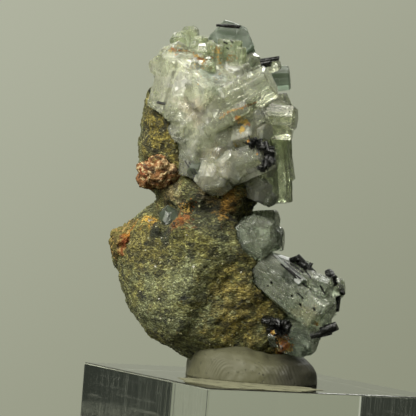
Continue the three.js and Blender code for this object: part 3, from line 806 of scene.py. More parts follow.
@dataclass(frozen=True)
class Acrylic:
    """Clear polished acrylic with faint saw marks and dust.

    Attributes:
        through: Colour that its depth lets through.
        ior: Index of refraction.
        half_side: Half the block's side, in millimetres.
        height: The block's height, in millimetres.
        scuffs: Level scuffs on the sawn faces: middle, height and half length, in millimetres.
        scuff_half: Half the height of a scuff, in millimetres.
    """

    through: Colour = (0.90, 0.97, 0.92)
    ior: float = 1.491
    half_side: float = 19.0
    height: float = 12.7
    scuffs: tuple[Point, ...] = ((2.2, 9.2, 7.8), (14.5, 8.3, 5.0), (-0.4, 7.7, 7.0), (9.0, 4.1, 6.0))
    scuff_half: float = 0.4

    def streaks(self, desk: Desk, spot: Socket, parts: Node) -> Socket:
        """Return the mask of the level scuffs.

        Args:
            desk: The material's desk.
            spot: The place on the surface.
            parts: The same place, by axes.

        Returns:
            Their mask, on every face.
        """
        total = 0.0
        for middle, height, half in self.scuffs:
            across = desk.math("DIVIDE", desk.less(parts.outputs[1], middle * MM), half * MM)
            up = desk.math("DIVIDE", desk.less(parts.outputs[2], height * MM), self.scuff_half * MM)
            away = desk.plus(desk.math("POWER", across, 4.0), desk.times(up, up))
            total = desk.plus(total, desk.less(1.0, away, clamp=True))
        return desk.times(total, desk.mottle(spot, 2.6, 0.1, 0.75))

    @staticmethod
    def scratches(desk: Desk, spot: Socket, stretch: Point, scale: float) -> Socket:
        """Return noise drawn out along one axis."""
        drawn = desk.add("Mapping", Vector=spot, Scale=stretch).outputs[0]
        return desk.add("TexNoise", Vector=drawn, Scale=scale, Detail=3.0).outputs["Fac"]

    def material(self) -> Material:
        """Return the block's material."""
        look, desk, spot = Finish.begin("clear_acrylic")
        parts = desk.add("SeparateXYZ", Vector=spot)
        sawn = desk.math("GREATER_THAN", desk.math("ABSOLUTE", parts.outputs[0]), (self.half_side - 0.1) * MM)
        dusty = desk.math("GREATER_THAN", parts.outputs[2], (self.height - 0.05) * MM)
        polish = desk.plus(desk.times(sawn, 0.03), desk.times(dusty, 0.02))
        scuffed = desk.times(desk.times(self.streaks(desk, spot, parts), sawn), 0.28)
        look.set(
            Base_Color=(1.0, 1.0, 1.0), Transmission_Weight=1.0, IOR=self.ior,
            Roughness=desk.math("MAXIMUM", scuffed, polish),
        )
        upright = desk.span(self.scratches(desk, spot, (1.0, 1.0, 0.01), 1500.0), 0.53, 0.57)
        level = self.scratches(desk, spot, (1.0, 0.06, 1.0), 700.0)
        look.relief(desk.times(desk.plus(upright, desk.times(level, 0.5)), sawn), 0.0065, 0.8)
        look.absorb(self.through, 6.0)
        return look.material


# ---- shapes
BERYL_AROUND = 48
"""Corners round a beryl crystal."""
SCHORL_AROUND = 30
"""Corners round a schorl crystal."""
SIXTH = math.radians(60)
"""The angle that one of six sides takes."""
ROOT_SHARE = 0.3
"""Share of a crystal's length below its first growth ledge."""
LEAST_RISE = 0.02
"""Least rise of one growth step, in millimetres."""
LEDGE_RISE = 0.03
"""Height of a growth ledge's rim, in millimetres."""
LEAST_RIM = 0.08
"""Least width of the cut round a crystal's end, in millimetres."""


def any_way(rng: random.Random) -> Vector:
    """Return a random direction of no set length."""
    return Vector((rng.gauss(0, 1), rng.gauss(0, 1), rng.gauss(0, 1)))


def stood_on(where: Vector, facing: Vector) -> Matrix:
    """Return the matrix that sets a flat shape down at a place, facing a given way."""
    return Matrix.Translation(where) @ facing.to_track_quat("Z", "Y").to_matrix().to_4x4()


def laid_along(start: Point, axis: Vector) -> Matrix:
    """Return the matrix that lays an upright shape along an axis from its start."""
    turn = Vector((0, 1, 0)).rotation_difference(axis).to_matrix().to_4x4()
    return Matrix.Translation(start) @ (turn @ Matrix.Rotation(math.radians(-90), 4, "X"))


def bevelled(bm: Shape, edges: list[bmesh.types.BMEdge], offset: float, segments: int) -> None:
    """Bevel some edges of a shape."""
    bmesh.ops.bevel(
        bm, geom=edges, offset=offset, offset_type="OFFSET", segments=segments, profile=0.5,
        affect="EDGES", material=-1,
    )


def slice_off(bm: Shape, where: Vector, facing: Vector) -> None:
    """Cut away the side of a plane that it faces, and close the cut."""
    geom = bm.verts[:] + bm.edges[:] + bm.faces[:]
    cut = bmesh.ops.bisect_plane(bm, geom=geom, plane_co=where, plane_no=facing, clear_outer=True)
    edges = [part for part in cut["geom_cut"] if isinstance(part, bmesh.types.BMEdge)]
    if edges:
        bmesh.ops.holes_fill(bm, edges=edges, sides=0)


class Heap:
    """Many small shapes gathered in one. Each is built on its own first, which is far quicker."""

    def __init__(self) -> None:
        """Start an empty heap."""
        self.bm = bmesh.new()
        self.sheet = bpy.data.meshes.new("sheet")

    def add(self, part: Shape) -> None:
        """Add a shape and free it."""
        part.to_mesh(self.sheet)
        part.free()
        self.bm.from_mesh(self.sheet)

    def done(self) -> Shape:
        """Return the whole heap."""
        bpy.data.meshes.remove(self.sheet)
        return self.bm


def mesh_object(name: str, bm: Shape, matrix: Matrix, materials: list[Material]) -> Piece:
    """Turn a bmesh into an object of the scene, with its place in its mesh.

    Args:
        name: The object's name.
        bm: The shape, freed here.
        matrix: Applied to the shape first.
        materials: Its materials, by slot.

    Returns:
        The new object.
    """
    bmesh.ops.transform(bm, matrix=matrix, verts=bm.verts)
    mesh = bpy.data.meshes.new(name)
    bm.to_mesh(mesh)
    bm.free()
    for material in materials:
        mesh.materials.append(material)
    made = bpy.data.objects.new(name, mesh)
    bpy.context.scene.collection.objects.link(made)
    return made


def finish_piece(piece: Piece, slot: str, *nodes: str) -> None:
    """Make a piece ride on the body and hide the CAD nodes that it stands for.

    Args:
        piece: The piece.
        slot: The record's material slot; not used.
        *nodes: CAD nodes that it replaces.
    """
    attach(piece, "root")
    if nodes:
        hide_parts(*nodes)
    log.info("%s: %d faces", piece.name, len(piece.data.polygons))


def evaluated(piece: Piece) -> bpy.types.Mesh:
    """Return a piece's mesh with its modifiers applied."""
    graph = bpy.context.evaluated_depsgraph_get()
    return bpy.data.meshes.new_from_object(piece.evaluated_get(graph))


def apply_modifiers(piece: Piece) -> None:
    """Replace a piece's mesh by its modified one."""
    mesh = evaluated(piece)
    old = piece.data
    piece.modifiers.clear()
    piece.data = mesh
    mesh.name = piece.name
    bpy.data.meshes.remove(old)


def weathered(piece: Piece, voxel_mm: float, soften: int, waves: tuple[Pair, ...]) -> None:
    """Remesh a piece finely, soften it and give it an uneven relief.

    Args:
        piece: The piece.
        voxel_mm: Size of the new mesh's cells.
        soften: Rounds of smoothing before the relief.
        waves: Sizes and heights of the relief, in millimetres.
    """
    material = piece.data.materials[0]
    remesh = piece.modifiers.new("even cells", "REMESH")
    remesh.mode = "VOXEL"
    remesh.voxel_size = voxel_mm * MM
    soft = piece.modifiers.new("soft", "SMOOTH")
    soft.factor, soft.iterations = 0.5, soften
    apply_modifiers(piece)
    mesh = piece.data
    if not mesh.materials:
        mesh.materials.append(material)
    aside = Vector((7, 3, 1))
    for vert, normal in [(v, v.normal.copy()) for v in mesh.vertices]:
        spot = vert.co / MM
        lift = sum(
            height * (noise.noise(spot / size) + 0.5 * abs(noise.noise(spot / size * 2.1 + aside)))
            for size, height in waves
        )
        vert.co += normal * lift * MM
    for polygon in mesh.polygons:
        polygon.use_smooth = True


@dataclass(frozen=True)
class Prism:
    """One crystal of six sides.

    Attributes:
        start: Where its axis starts, in the specimen's millimetres.
        end: The middle of its end face.
        radius: Middle to corner.
        water: Its clarity.
        spin: Turn about its axis, in degrees.
        bevel: Rim cut as a share of the radius.
        flat: Press across one way.
        taper: Size of the end against the start.
        ledges: Growth ledges along its length.
        grooves: Depth of the striations as a share of the radius.
        tail: Size of the buried start against the rest.
    """

    start: Point
    end: Point
    radius: float
    water: Water = Water.CLOUDY
    spin: float = 0.0
    bevel: float = 0.12
    flat: float = 1.0
    taper: float = 0.95
    ledges: int = 3
    grooves: float = 0.016
    tail: float = 1.0

    def shape(self, rng: random.Random) -> Shape:
        """Return the crystal with striated sides, ledges along it, a cut rim and one chip.

        Args:
            rng: Source of its small irregularities.

        Returns:
            A closed bmesh in the specimen's millimetres.
        """
        axis = Vector(self.end) - Vector(self.start)
        length = axis.length
        bm = bmesh.new()
        bmesh.ops.create_cone(bm, cap_ends=True, segments=BERYL_AROUND, radius1=1.0, radius2=1.0, depth=1.0)
        grooves = [1 + rng.uniform(-1, 0.5) * self.grooves for _ in range(BERYL_AROUND)]
        shift = rng.uniform(-0.04, 0.04)
        for vert in bm.verts:
            buried = vert.co.z < 0
            angle = math.atan2(vert.co.y, vert.co.x) % math.tau
            folded = (angle % SIXTH) - SIXTH / 2
            reach = self.radius * math.cos(SIXTH / 2) / math.cos(folded)
            reach *= grooves[round(angle / math.tau * BERYL_AROUND) % BERYL_AROUND]
            reach *= 1 + shift * math.cos(angle * 3)
            if buried:
                reach *= self.tail
            turned = angle + math.radians(self.spin)
            height = 0 if buried else ROOT_SHARE * length
            vert.co = (math.sin(turned) * reach, -math.cos(turned) * reach * self.flat, height)
        top = max(bm.faces, key=lambda face: face.calc_center_median().z)
        below = ROOT_SHARE * length
        for stop in sorted(rng.uniform(0.45, 0.93) for _ in range(self.ledges)) + [1.0]:
            rise = length * stop - below
            shrink = 1 - (1 - self.taper) * rise / length
            top = self.grow(bm, top, shrink, max(rise, LEAST_RISE))
            if stop < 1.0:
                top = self.grow(bm, top, rng.uniform(0.968, 0.992), LEDGE_RISE)
                rise += LEDGE_RISE
            below += max(rise, LEAST_RISE)
        bevelled(bm, list(top.edges), max(LEAST_RIM, self.bevel * self.radius * 0.8), 1)
        self.chip(bm, length, rng)
        bmesh.ops.recalc_face_normals(bm, faces=bm.faces)
        bmesh.ops.transform(bm, matrix=laid_along(self.start, axis), verts=bm.verts)
        return bm

    @staticmethod
    def grow(bm: Shape, top: bmesh.types.BMFace, share: float, rise: float) -> bmesh.types.BMFace:
        """Extrude the end face by a rise, scaled to a share of its size, and return the new end."""
        top = bmesh.ops.extrude_discrete_faces(bm, faces=[top])["faces"][0]
        bmesh.ops.scale(bm, vec=(share, share, 1), verts=list(top.verts))
        bmesh.ops.translate(bm, vec=(0, 0, rise), verts=list(top.verts))
        return top

    def chip(self, bm: Shape, length: float, rng: random.Random) -> None:
        """Split one small flat chip off the end's corner."""
        angle = rng.uniform(0, math.tau)
        tilt = Vector((math.cos(angle), math.sin(angle), rng.uniform(0.5, 1.6))).normalized()
        reach = (self.radius * (1 - 0.5 * self.bevel), self.radius * (1 - 0.5 * self.bevel) * self.flat)
        corner = Vector((math.cos(angle) * reach[0], math.sin(angle) * reach[1], length))
        slice_off(bm, corner - tilt * self.radius * rng.uniform(0.12, 0.3), tilt)


@dataclass(frozen=True)
class Mass:
    """A lump with a given outline from the front, split by flat faces.

    Attributes:
        centre: Its middle, in the specimen's millimetres.
        outline: Places x and z on its outline.
        front: Depth towards the viewer.
        back: Depth away from the viewer.
        splits: How many flat faces split it.
        roundness: 2 for an ellipsoid, more for a squarer form.
    """

    centre: Point
    outline: tuple[Pair, ...]
    front: float
    back: float
    splits: int = 40
    roundness: float = 2.5

    def radius(self, angle: float) -> float:
        """Return the outline's distance from the centre at an angle."""
        cx, _, cz = self.centre
        polar = sorted((math.atan2(z - cz, x - cx), math.hypot(x - cx, z - cz)) for x, z in self.outline)
        after = next((i for i, (at, _) in enumerate(polar) if at > angle), 0)
        (start, near), (end, far) = polar[after - 1], polar[after]
        share = ((angle - start) % math.tau) / ((end - start) % math.tau)
        share = 0.5 * share + 0.5 * share * share * (3 - 2 * share)
        return near + (far - near) * share

    def reach(self, way: Vector) -> float:
        """Return how far the lump reaches in a direction."""
        across = math.hypot(way.x, way.z) / self.radius(math.atan2(way.z, way.x))
        depth = self.front if way.y < 0 else self.back
        power = self.roundness
        return (across**power + (abs(way.y) / depth) ** power) ** (-1 / power)

    def shape(self, rng: random.Random) -> Shape:
        """Return the lump as a closed bmesh."""
        bm = bmesh.new()
        bmesh.ops.create_icosphere(bm, subdivisions=4, radius=1.0)
        for vert in bm.verts:
            vert.co *= self.reach(vert.co.normalized()) * (1 + 0.03 * noise.noise(vert.co * 3))
        for _ in range(self.splits):
            way = any_way(rng).normalized()
            slice_off(bm, way * self.reach(way) * rng.uniform(0.86, 0.97), way)
        bmesh.ops.translate(bm, vec=self.centre, verts=bm.verts)
        bmesh.ops.recalc_face_normals(bm, faces=bm.faces)
        return bm


def joined(name: str, shapes: list[Shape], matrix: Matrix, material: Material) -> Piece:
    """Join closed shapes into one solid without inner walls.

    Args:
        name: The new object's name.
        shapes: Closed bmeshes, freed here.
        matrix: Applied to the shapes.
        material: The solid's material.

    Returns:
        The new object.
    """
    shapes = [shape for shape in shapes if len(shape.faces) > 3 and all(edge.is_manifold for edge in shape.edges)]
    crowd = bpy.data.collections.new(name + "_parts")
    parts = [mesh_object(f"{name}_{i}", shape, Matrix.Identity(4), []) for i, shape in enumerate(shapes)]
    base = parts.pop(0)
    for part in parts:
        crowd.objects.link(part)
    if parts:
        union = base.modifiers.new("join", "BOOLEAN")
        union.operation = "UNION"
        union.operand_type = "COLLECTION"
        union.solver = "MANIFOLD"
        union.collection = crowd
    mesh = evaluated(base)
    for part in [base, *parts]:
        old = part.data
        bpy.data.objects.remove(part)
        bpy.data.meshes.remove(old)
    bpy.data.collections.remove(crowd)
    bm = bmesh.new()
    bm.from_mesh(mesh)
    bpy.data.meshes.remove(mesh)
    return mesh_object(name, bm, matrix, [material])


# ---- the aquamarine
C, G, S, M, B, I = Water.CLEAR, Water.GREEN, Water.SMOKY, Water.CLOUDY, Water.BLUISH, Water.MILKY


@dataclass
class UpperCluster:
    """The upper aquamarine: clear, green and smoky crystals that grow out of a cloudy mass.

    Attributes:
        crystals: The large crystals.
        root: The cloudy mass.
        root_waves: Sizes and heights of its relief, in millimetres.
        cloud_shares: Sizes of the shells of cloud in it, against its own.
        sprig_count: How many small crystals are tried for.
        seed: Start of the random draws.
    """

    crystals: tuple[Prism, ...] = (
        # crown, from left to right
        Prism((-9.8, 1.0, 40.0), (-11.9, 1.4, 49.3), 1.7, G, 10, 0.5),
        Prism((-9.0, 0.4, 40.0), (-10.4, 0.6, 50.1), 1.45, G, 35, 0.5),
        Prism((-8.4, 0.0, 40.0), (-8.9, -0.6, 48.7), 1.3, G, 5, 0.3),
        Prism((-10.4, -2.0, 38.0), (-13.3, -4.2, 47.2), 2.2, M, 5, 0.45),
        Prism((-9.4, -3.2, 42.0), (-9.7, -4.0, 47.8), 0.95, G, 12, 0.7, ledges=5, grooves=0.05),
        Prism((-7.6, -3.4, 42.0), (-7.3, -4.4, 47.9), 1.0, G, 40, 0.7, ledges=5, grooves=0.05),
        Prism((-6.4, -3.0, 42.0), (-6.2, -4.2, 47.2), 0.9, G, 5, 0.2, ledges=5, grooves=0.05),
        Prism((-3.4, -2.4, 42.0), (-3.2, -3.4, 47.0), 0.95, G, 18, 0.2, ledges=5, grooves=0.05),
        Prism((-8.6, -4.6, 42.0), (-8.9, -5.7, 46.0), 1.0, G, 33, 0.7, ledges=5, grooves=0.05),
        Prism((-8.2, -2.0, 39.0), (-8.5, -4.4, 47.3), 1.8, G, 20, 0.42, ledges=6, grooves=0.06),
        Prism((-5.4, -1.4, 38.0), (-4.6, -2.6, 48.1), 2.1, G, 26, 0.08, flat=0.85, ledges=6, grooves=0.04),
        Prism((-5.0, 6.4, 46.0), (-4.45, 1.2, 48.15), 3.6, S, 44, 0.05),
        Prism((-4.0, 3.6, 41.0), (-1.2, 1.6, 46.2), 1.35, C, 15, 0.4),
        Prism((-9.6, -6.0, 41.0), (-9.9, -7.7, 44.9), 1.25, I, 20, 0.8, ledges=4, grooves=0.04),
        Prism((-7.6, -6.2, 41.4), (-7.7, -7.9, 45.3), 1.15, G, 44, 0.8, ledges=4, grooves=0.05),
        Prism((-5.6, -5.4, 41.4), (-5.3, -7.0, 45.0), 1.2, G, 10, 0.8, ledges=4, grooves=0.05),
        # right side, from top to bottom
        Prism((-3.6, 0.6, 42.6), (2.3, -1.4, 44.7), 0.95, C, 25),
        Prism((-3.2, 2.0, 42.2), (3.85, 1.4, 42.8), 1.9, S, 0),
        Prism((-7.4, -7.2, 37.8), (1.0, -9.4, 42.1), 2.8, C, 24, 0.1, taper=0.98, ledges=5, grooves=0.02),
        Prism((-8.2, -9.4, 35.2), (-2.2, -10.6, 38.4), 1.25, C, 40),
        Prism((-4.6, -1.4, 37.6), (4.65, -3.4, 37.0), 2.2, C, 30, 0.2, ledges=5),
        Prism((-3.4, -1.4, 35.8), (4.1, -2.4, 35.3), 1.7, C, 32),
        Prism((1.9, 1.0, 38.0), (2.55, -0.4, 25.1), 2.0, G, 30, 0.1, taper=0.9, ledges=6, grooves=0.05, tail=0.2),
        Prism((1.7, 0.6, 36.0), (3.2, 0.2, 28.0), 1.8, G, 10, 0.2, ledges=5, tail=0.2),
        Prism((-0.4, 2.6, 36.0), (1.0, 1.4, 25.4), 1.9, G, 5, tail=0.3),
        # front, below the clear prism
        Prism((-6.2, -5.4, 29.4), (0.5, -10.4, 31.8), 2.7, C, 12, ledges=5),
        Prism((-5.8, -7.0, 34.0), (-1.2, -9.8, 35.2), 1.9, I, 33, 0.15, ledges=5, grooves=0.03),
        Prism((-6.6, -5.0, 32.0), (-6.6, -8.6, 26.8), 2.5, M, 22, 0.35),
        Prism((-7.4, -3.0, 30.8), (-3.9, -9.9, 30.2), 3.0, I, 34, 0.16, taper=0.86, ledges=6, grooves=0.05),
        Prism((-6.2, -4.0, 32.6), (-7.9, -9.4, 27.9), 2.3, I, 12, 0.22, ledges=5, grooves=0.05),
        Prism((-8.6, -5.0, 31.8), (-9.7, -8.4, 29.2), 1.3, S, 12),
        Prism((-3.4, -0.6, 28.8), (0.2, -5.6, 26.3), 2.1, I, 16, 0.25, ledges=6, grooves=0.04),
        Prism((-2.4, -1.6, 27.4), (1.3, -5.2, 25.4), 1.3, B, 40, 0.25, ledges=5, grooves=0.04),
        # the cloudy front
        Prism((-13.8, -3.6, 38.2), (-11.6, -5.6, 46.2), 2.9, M, 9, 0.5),
        Prism((-11.4, -5.6, 36.6), (-9.4, -6.6, 44.0), 3.1, M, 28, 0.5),
        Prism((-11.6, -5.8, 33.8), (-6.8, -7.8, 39.0), 2.6, M, 17, 0.5),
        Prism((-9.8, -5.6, 29.0), (-9.0, -7.0, 36.0), 2.5, M, 3, 0.5),
        Prism((-7.4, -6.0, 27.8), (-5.6, -7.8, 34.0), 2.6, M, 11, 0.5),
        Prism((-12.6, -4.0, 41.4), (-8.8, -5.4, 45.2), 2.3, M, 25, 0.5),
        Prism((-6.6, -7.2, 33.4), (0.3, -8.6, 37.4), 2.1, C, 21, 0.2),
        # right, crown and back, hidden from the front
        Prism((-5.0, -3.0, 38.0), (-0.6, -7.2, 36.9), 1.6, C, 4),
        Prism((-3.6, -5.0, 35.4), (0.5, -9.3, 35.0), 1.6, I, 24, 0.15, ledges=4),
        Prism((-3.5, -1.5, 31.8), (1.2, -4.6, 29.8), 1.7, C, 13),
        Prism((-9.0, 4.0, 40.0), (-10.8, 6.2, 47.4), 1.9, G, 8),
        Prism((-7.0, 4.0, 40.0), (-7.4, 8.6, 46.2), 2.0, C, 29),
        Prism((-11.0, 2.0, 38.0), (-14.2, 4.4, 45.0), 1.9, M, 17),
        Prism((-4.0, 2.0, 31.6), (2.2, 2.8, 30.6), 1.9, C, 3),
        Prism((-4.4, 3.0, 36.0), (4.0, 4.0, 36.2), 1.9, C, 21),
        Prism((-4.4, 3.0, 38.0), (3.6, 6.6, 38.8), 2.3, C, 14),
        Prism((-4.4, 4.0, 34.0), (3.2, 7.4, 33.2), 2.2, G, 27),
        Prism((-4.6, 4.0, 30.4), (2.0, 6.2, 28.2), 2.0, C, 6),
        Prism((-5.4, 4.0, 41.0), (-0.4, 8.8, 44.6), 2.1, C, 33),
        Prism((-6.4, 5.0, 36.0), (-0.8, 11.8, 37.2), 2.5, G, 19),
        Prism((-8.6, 5.0, 37.0), (-8.4, 12.2, 39.4), 2.4, M, 2),
    )
    root: Mass = Mass(
        (-8.0, -1.0, 37.2), (
            (-0.4, 37.2), (-0.7, 33.6), (-1.2, 29.6), (-2.6, 27.4), (-5.4, 26.2), (-8.2, 26.2), (-10.3, 27.4),
            (-11.4, 30.4), (-12.2, 33.6), (-13.2, 36.6), (-16.1, 39.2), (-17.2, 41.4), (-16.3, 44.0),
            (-14.6, 46.2), (-12.4, 47.2), (-8.0, 46.6), (-4.0, 45.2), (-1.6, 42.0),
        ),
        10.0, 9.4,
    )
    root_waves: tuple[Pair, ...] = ((2.6, 0.2), (0.9, 0.14))
    cloud_shares: tuple[float, ...] = (0.92, 0.80, 0.66)
    sprig_count: int = 46
    seed: int = 7

    def sprigs(self, rng: random.Random) -> list[Prism]:
        """Return small crystals that crowd the cloudy mass between the large ones."""
        made = []
        centre = Vector(self.root.centre)
        for _ in range(self.sprig_count):
            way = Vector((rng.gauss(0.1, 1), rng.gauss(-0.3, 1), rng.gauss(0.1, 1))).normalized()
            if way.x < -0.3 and way.z < 0.0 or (way.y < -0.35 and rng.random() < 0.6):
                continue
            lean = any_way(rng)
            along = (lean - way * lean.dot(way) * 0.8).normalized()
            radius = rng.uniform(1.2, 2.8)
            middle = centre + way * (self.root.reach(way) - radius * rng.uniform(0.72, 0.92))
            half = along * rng.uniform(1.6, 3.2)
            water = Water.CLOUDY if way.x < 0.3 or way.y < 0 else rng.choice((Water.CLEAR, Water.GREEN))
            spin, bevel = rng.uniform(0, 60), rng.uniform(0.1, 0.4)
            made.append(Prism(tuple(middle - half), tuple(middle + half), radius, water, spin, bevel))
        return made

    def build(self, materials: dict[Water, Material]) -> list[Piece]:
        """Build the cluster, one joined solid for each clarity.

        Args:
            materials: The crystals' materials.

        Returns:
            The pieces.
        """
        rng = random.Random(self.seed)
        every = [*self.crystals, *self.sprigs(rng)]
        pieces = []
        for water in (Water.CLOUDY, Water.MILKY, Water.BLUISH, Water.CLEAR, Water.GREEN, Water.SMOKY):
            shapes = [crystal.shape(rng) for crystal in every if crystal.water is water]
            if water is Water.CLOUDY:
                shapes.insert(0, self.root.shape(rng))
            piece = joined(f"aquamarine_upper_{water.value}", shapes, STAND.matrix(), materials[water])
            if water is Water.CLOUDY:
                weathered(piece, 0.17, 1, self.root_waves)
            finish_piece(piece, "aquamarine", "aquamarine_upper")
            pieces.append(piece)
        return pieces

    def cloud(self, material: Material) -> Piece:
        """Build the cloudiness deep in the root.

        Args:
            material: The cloud's material.

        Returns:
            The piece.
        """
        heap = Heap()
        middle = Vector(self.root.centre)
        for share in self.cloud_shares:
            shell = self.root.shape(random.Random(self.seed + 1))
            bmesh.ops.subdivide_edges(shell, edges=shell.edges[:], cuts=1, use_grid_fill=True)
            for vert in shell.verts:
                out = vert.co - middle
                swell = 0.10 * noise.noise(out / (2.4 * share))
                vert.co = middle + out * (share + swell + 0.04 * noise.noise(out / 0.7))
            heap.add(shell)
        bm = heap.done()
        for face in bm.faces:
            face.smooth = True
        piece = mesh_object("aquamarine_root_cloud", bm, STAND.matrix(), [material])
        finish_piece(piece, "aquamarine")
        return piece


@dataclass
class LowerCluster:
    """The lower aquamarine: bluish, dusty crystals that lie down to the right, with two smoky ones and a green one.

    Attributes:
        crystals: Its crystals.
        seed: Start of the random draws.
    """

    crystals: tuple[Prism, ...] = (
        Prism((-3.4, 1.6, 19.2), (-0.5, -7.4, 20.7), 3.65, B, 14, 0.3, taper=0.94, ledges=6),
        Prism((-2.4, 1.0, 19.8), (1.2, -5.4, 20.4), 2.7, B, 27, 0.35, ledges=5),
        Prism((-4.4, 2.6, 22.0), (2.1, 0.4, 22.6), 1.9, B, 26, 0.2),
        Prism((-3.6, 3.6, 20.0), (3.0, 2.6, 19.9), 1.9, B, 8),
        Prism((-4.6, 4.0, 20.6), (0.9, 6.6, 21.4), 2.2, B, 20, 0.25),
        Prism((-0.6, -4.6, 16.2), (7.5, -6.9, 9.0), 2.7, B, 6, 0.12, ledges=8, grooves=0.03),
        Prism((1.6, -4.4, 13.8), (8.7, -7.0, 9.9), 1.7, B, 20, 0.12, ledges=4, grooves=0.03),
        Prism((4.0, -3.0, 10.6), (8.9, -6.4, 8.3), 1.5, B, 12, 0.2),
        Prism((0.4, -1.8, 15.8), (9.5, -4.4, 12.8), 2.05, B, 22, 0.3, ledges=6),
        Prism((2.4, -1.6, 12.8), (9.5, -5.2, 9.8), 2.3, B, 12, 0.3),
        Prism((0.4, -0.4, 16.9), (6.5, -1.2, 15.0), 1.5, S, 0),
        Prism((4.2, 0.4, 12.6), (11.5, -1.0, 13.1), 1.75, B, 30, 0.3),
        Prism((4.2, 0.8, 11.4), (10.6, 0.2, 10.4), 1.8, B, 10, 0.3),
        Prism((0.4, -3.6, 17.4), (5.4, -6.6, 13.6), 1.2, S, 18, 0.12),
        Prism((-0.6, 1.6, 16.0), (6.8, 2.8, 15.2), 1.9, B, 33, 0.2),
        Prism((0.6, 3.0, 13.6), (8.8, 3.6, 11.8), 2.3, B, 9, 0.2),
        Prism((-0.6, 5.0, 13.6), (5.2, 7.8, 11.6), 2.2, B, 16),
        Prism((0.4, 3.4, 10.4), (7.2, 3.2, 8.4), 2.0, B, 22),
        Prism((1.4, -0.6, 9.6), (7.2, -0.4, 7.0), 1.9, B, 3),
        Prism((1.4, -2.6, 6.8), (7.2, -5.2, 5.2), 1.8, B, 10, 0.2),
        Prism((3.6, -3.4, 7.6), (7.6, -6.2, 6.4), 1.2, B, 30, 0.2),
        Prism((2.4, -3.4, 5.4), (5.8, -6.4, 4.4), 1.1, B, 14, 0.2),
        Prism((1.2, 0.6, 6.4), (5.2, 1.8, 5.0), 1.6, G, 28),
    )
    seed: int = 11

    def build(self, materials: dict[Water, Material]) -> list[Piece]:
        """Build the cluster, one joined solid for each clarity.

        Args:
            materials: The crystals' materials.

        Returns:
            The pieces.
        """
        rng = random.Random(self.seed)
        pieces = []
        for water in (Water.BLUISH, Water.SMOKY, Water.GREEN):
            shapes = [crystal.shape(rng) for crystal in self.crystals if crystal.water is water]
            piece = joined(f"aquamarine_lower_{water.value}", shapes, STAND.matrix(), materials[water])
            finish_piece(piece, "aquamarine", "aquamarine_lower")
            pieces.append(piece)
        return pieces


@dataclass
class LedgeCrystal:
    """The small smooth aquamarine that sits in a hollow left of the rock's neck."""

    crystal: Prism = Prism((-11.6, -3.4, 21.8), (-13.6, -7.3, 23.2), 2.1, S, 14, 0.5, flat=0.85)
    seed: int = 3

    def build(self, material: Material) -> Piece:
        """Build the crystal."""
        shape = self.crystal.shape(random.Random(self.seed))
        piece = mesh_object("aquamarine_ledge_crystal", shape, STAND.matrix(), [material])
        finish_piece(piece, "aquamarine")
        return piece


@dataclass
class Veils:
    """Healed fractures inside the crystals.

    Attributes:
        material: The veils' material.
        seed: Start of the random draws.
        each: Veils in each crystal.
        along: Part of the crystal's length that holds them.
        size: Least and greatest radius, as a share of the crystal's.
    """

    material: Material
    seed: int = 23
    each: int = 4
    along: Pair = (0.3, 0.85)
    size: Pair = (0.3, 0.62)

    def build(self, crystals: tuple[Prism, ...]) -> Piece:
        """Build every veil as one piece.

        Args:
            crystals: The crystals that hold them.

        Returns:
            The piece.
        """
        rng = random.Random(self.seed)
        bm = bmesh.new()
        for crystal in crystals:
            start, end = Vector(crystal.start), Vector(crystal.end)
            axis = (end - start).normalized()
            for _ in range(self.each):
                across = any_way(rng).normalized()
                facing = (axis * rng.uniform(0.0, 1.0) + across * 0.6).normalized()
                where = start.lerp(end, rng.uniform(*self.along))
                size = crystal.radius * rng.uniform(*self.size)
                disc = bmesh.ops.create_circle(bm, cap_ends=True, segments=14, radius=size)["verts"]
                bend = rng.uniform(-0.12, 0.12)
                for vert in disc:
                    vert.co.z += bend * vert.co.x * vert.co.y / size
                    vert.co *= 1 + 0.25 * noise.noise(vert.co * 1.3 + where)
                bmesh.ops.transform(bm, matrix=stood_on(where, facing), verts=disc)
        bmesh.ops.triangulate(bm, faces=bm.faces)
        piece = mesh_object("aquamarine_veils", bm, STAND.matrix(), [self.material])
        finish_piece(piece, "aquamarine")
        return piece


def surface_at(x: float, z: float, pieces: list[Piece]) -> tuple[Vector, Vector] | None:
    """Find the front of the pieces.

    Args:
        x: To the specimen's right, in its millimetres.
        z: Up, in its millimetres.
        pieces: The pieces to look at.

    Returns:
        The place and the facing of the nearest surface in the specimen's millimetres, or None.
    """
    ahead = (place((x, 0, z)) - place((x, -1, z))).normalized()
    start = place((x, -40, z))
    hits = [hit for hit in (piece.ray_cast(start, ahead) for piece in pieces) if hit[0]]
    if not hits:
        return None
    _, where, facing, _ = min(hits, key=lambda hit: (hit[1] - start).length)
    back = STAND.matrix().inverted()
    return back @ where, (back.to_3x3() @ facing).normalized()


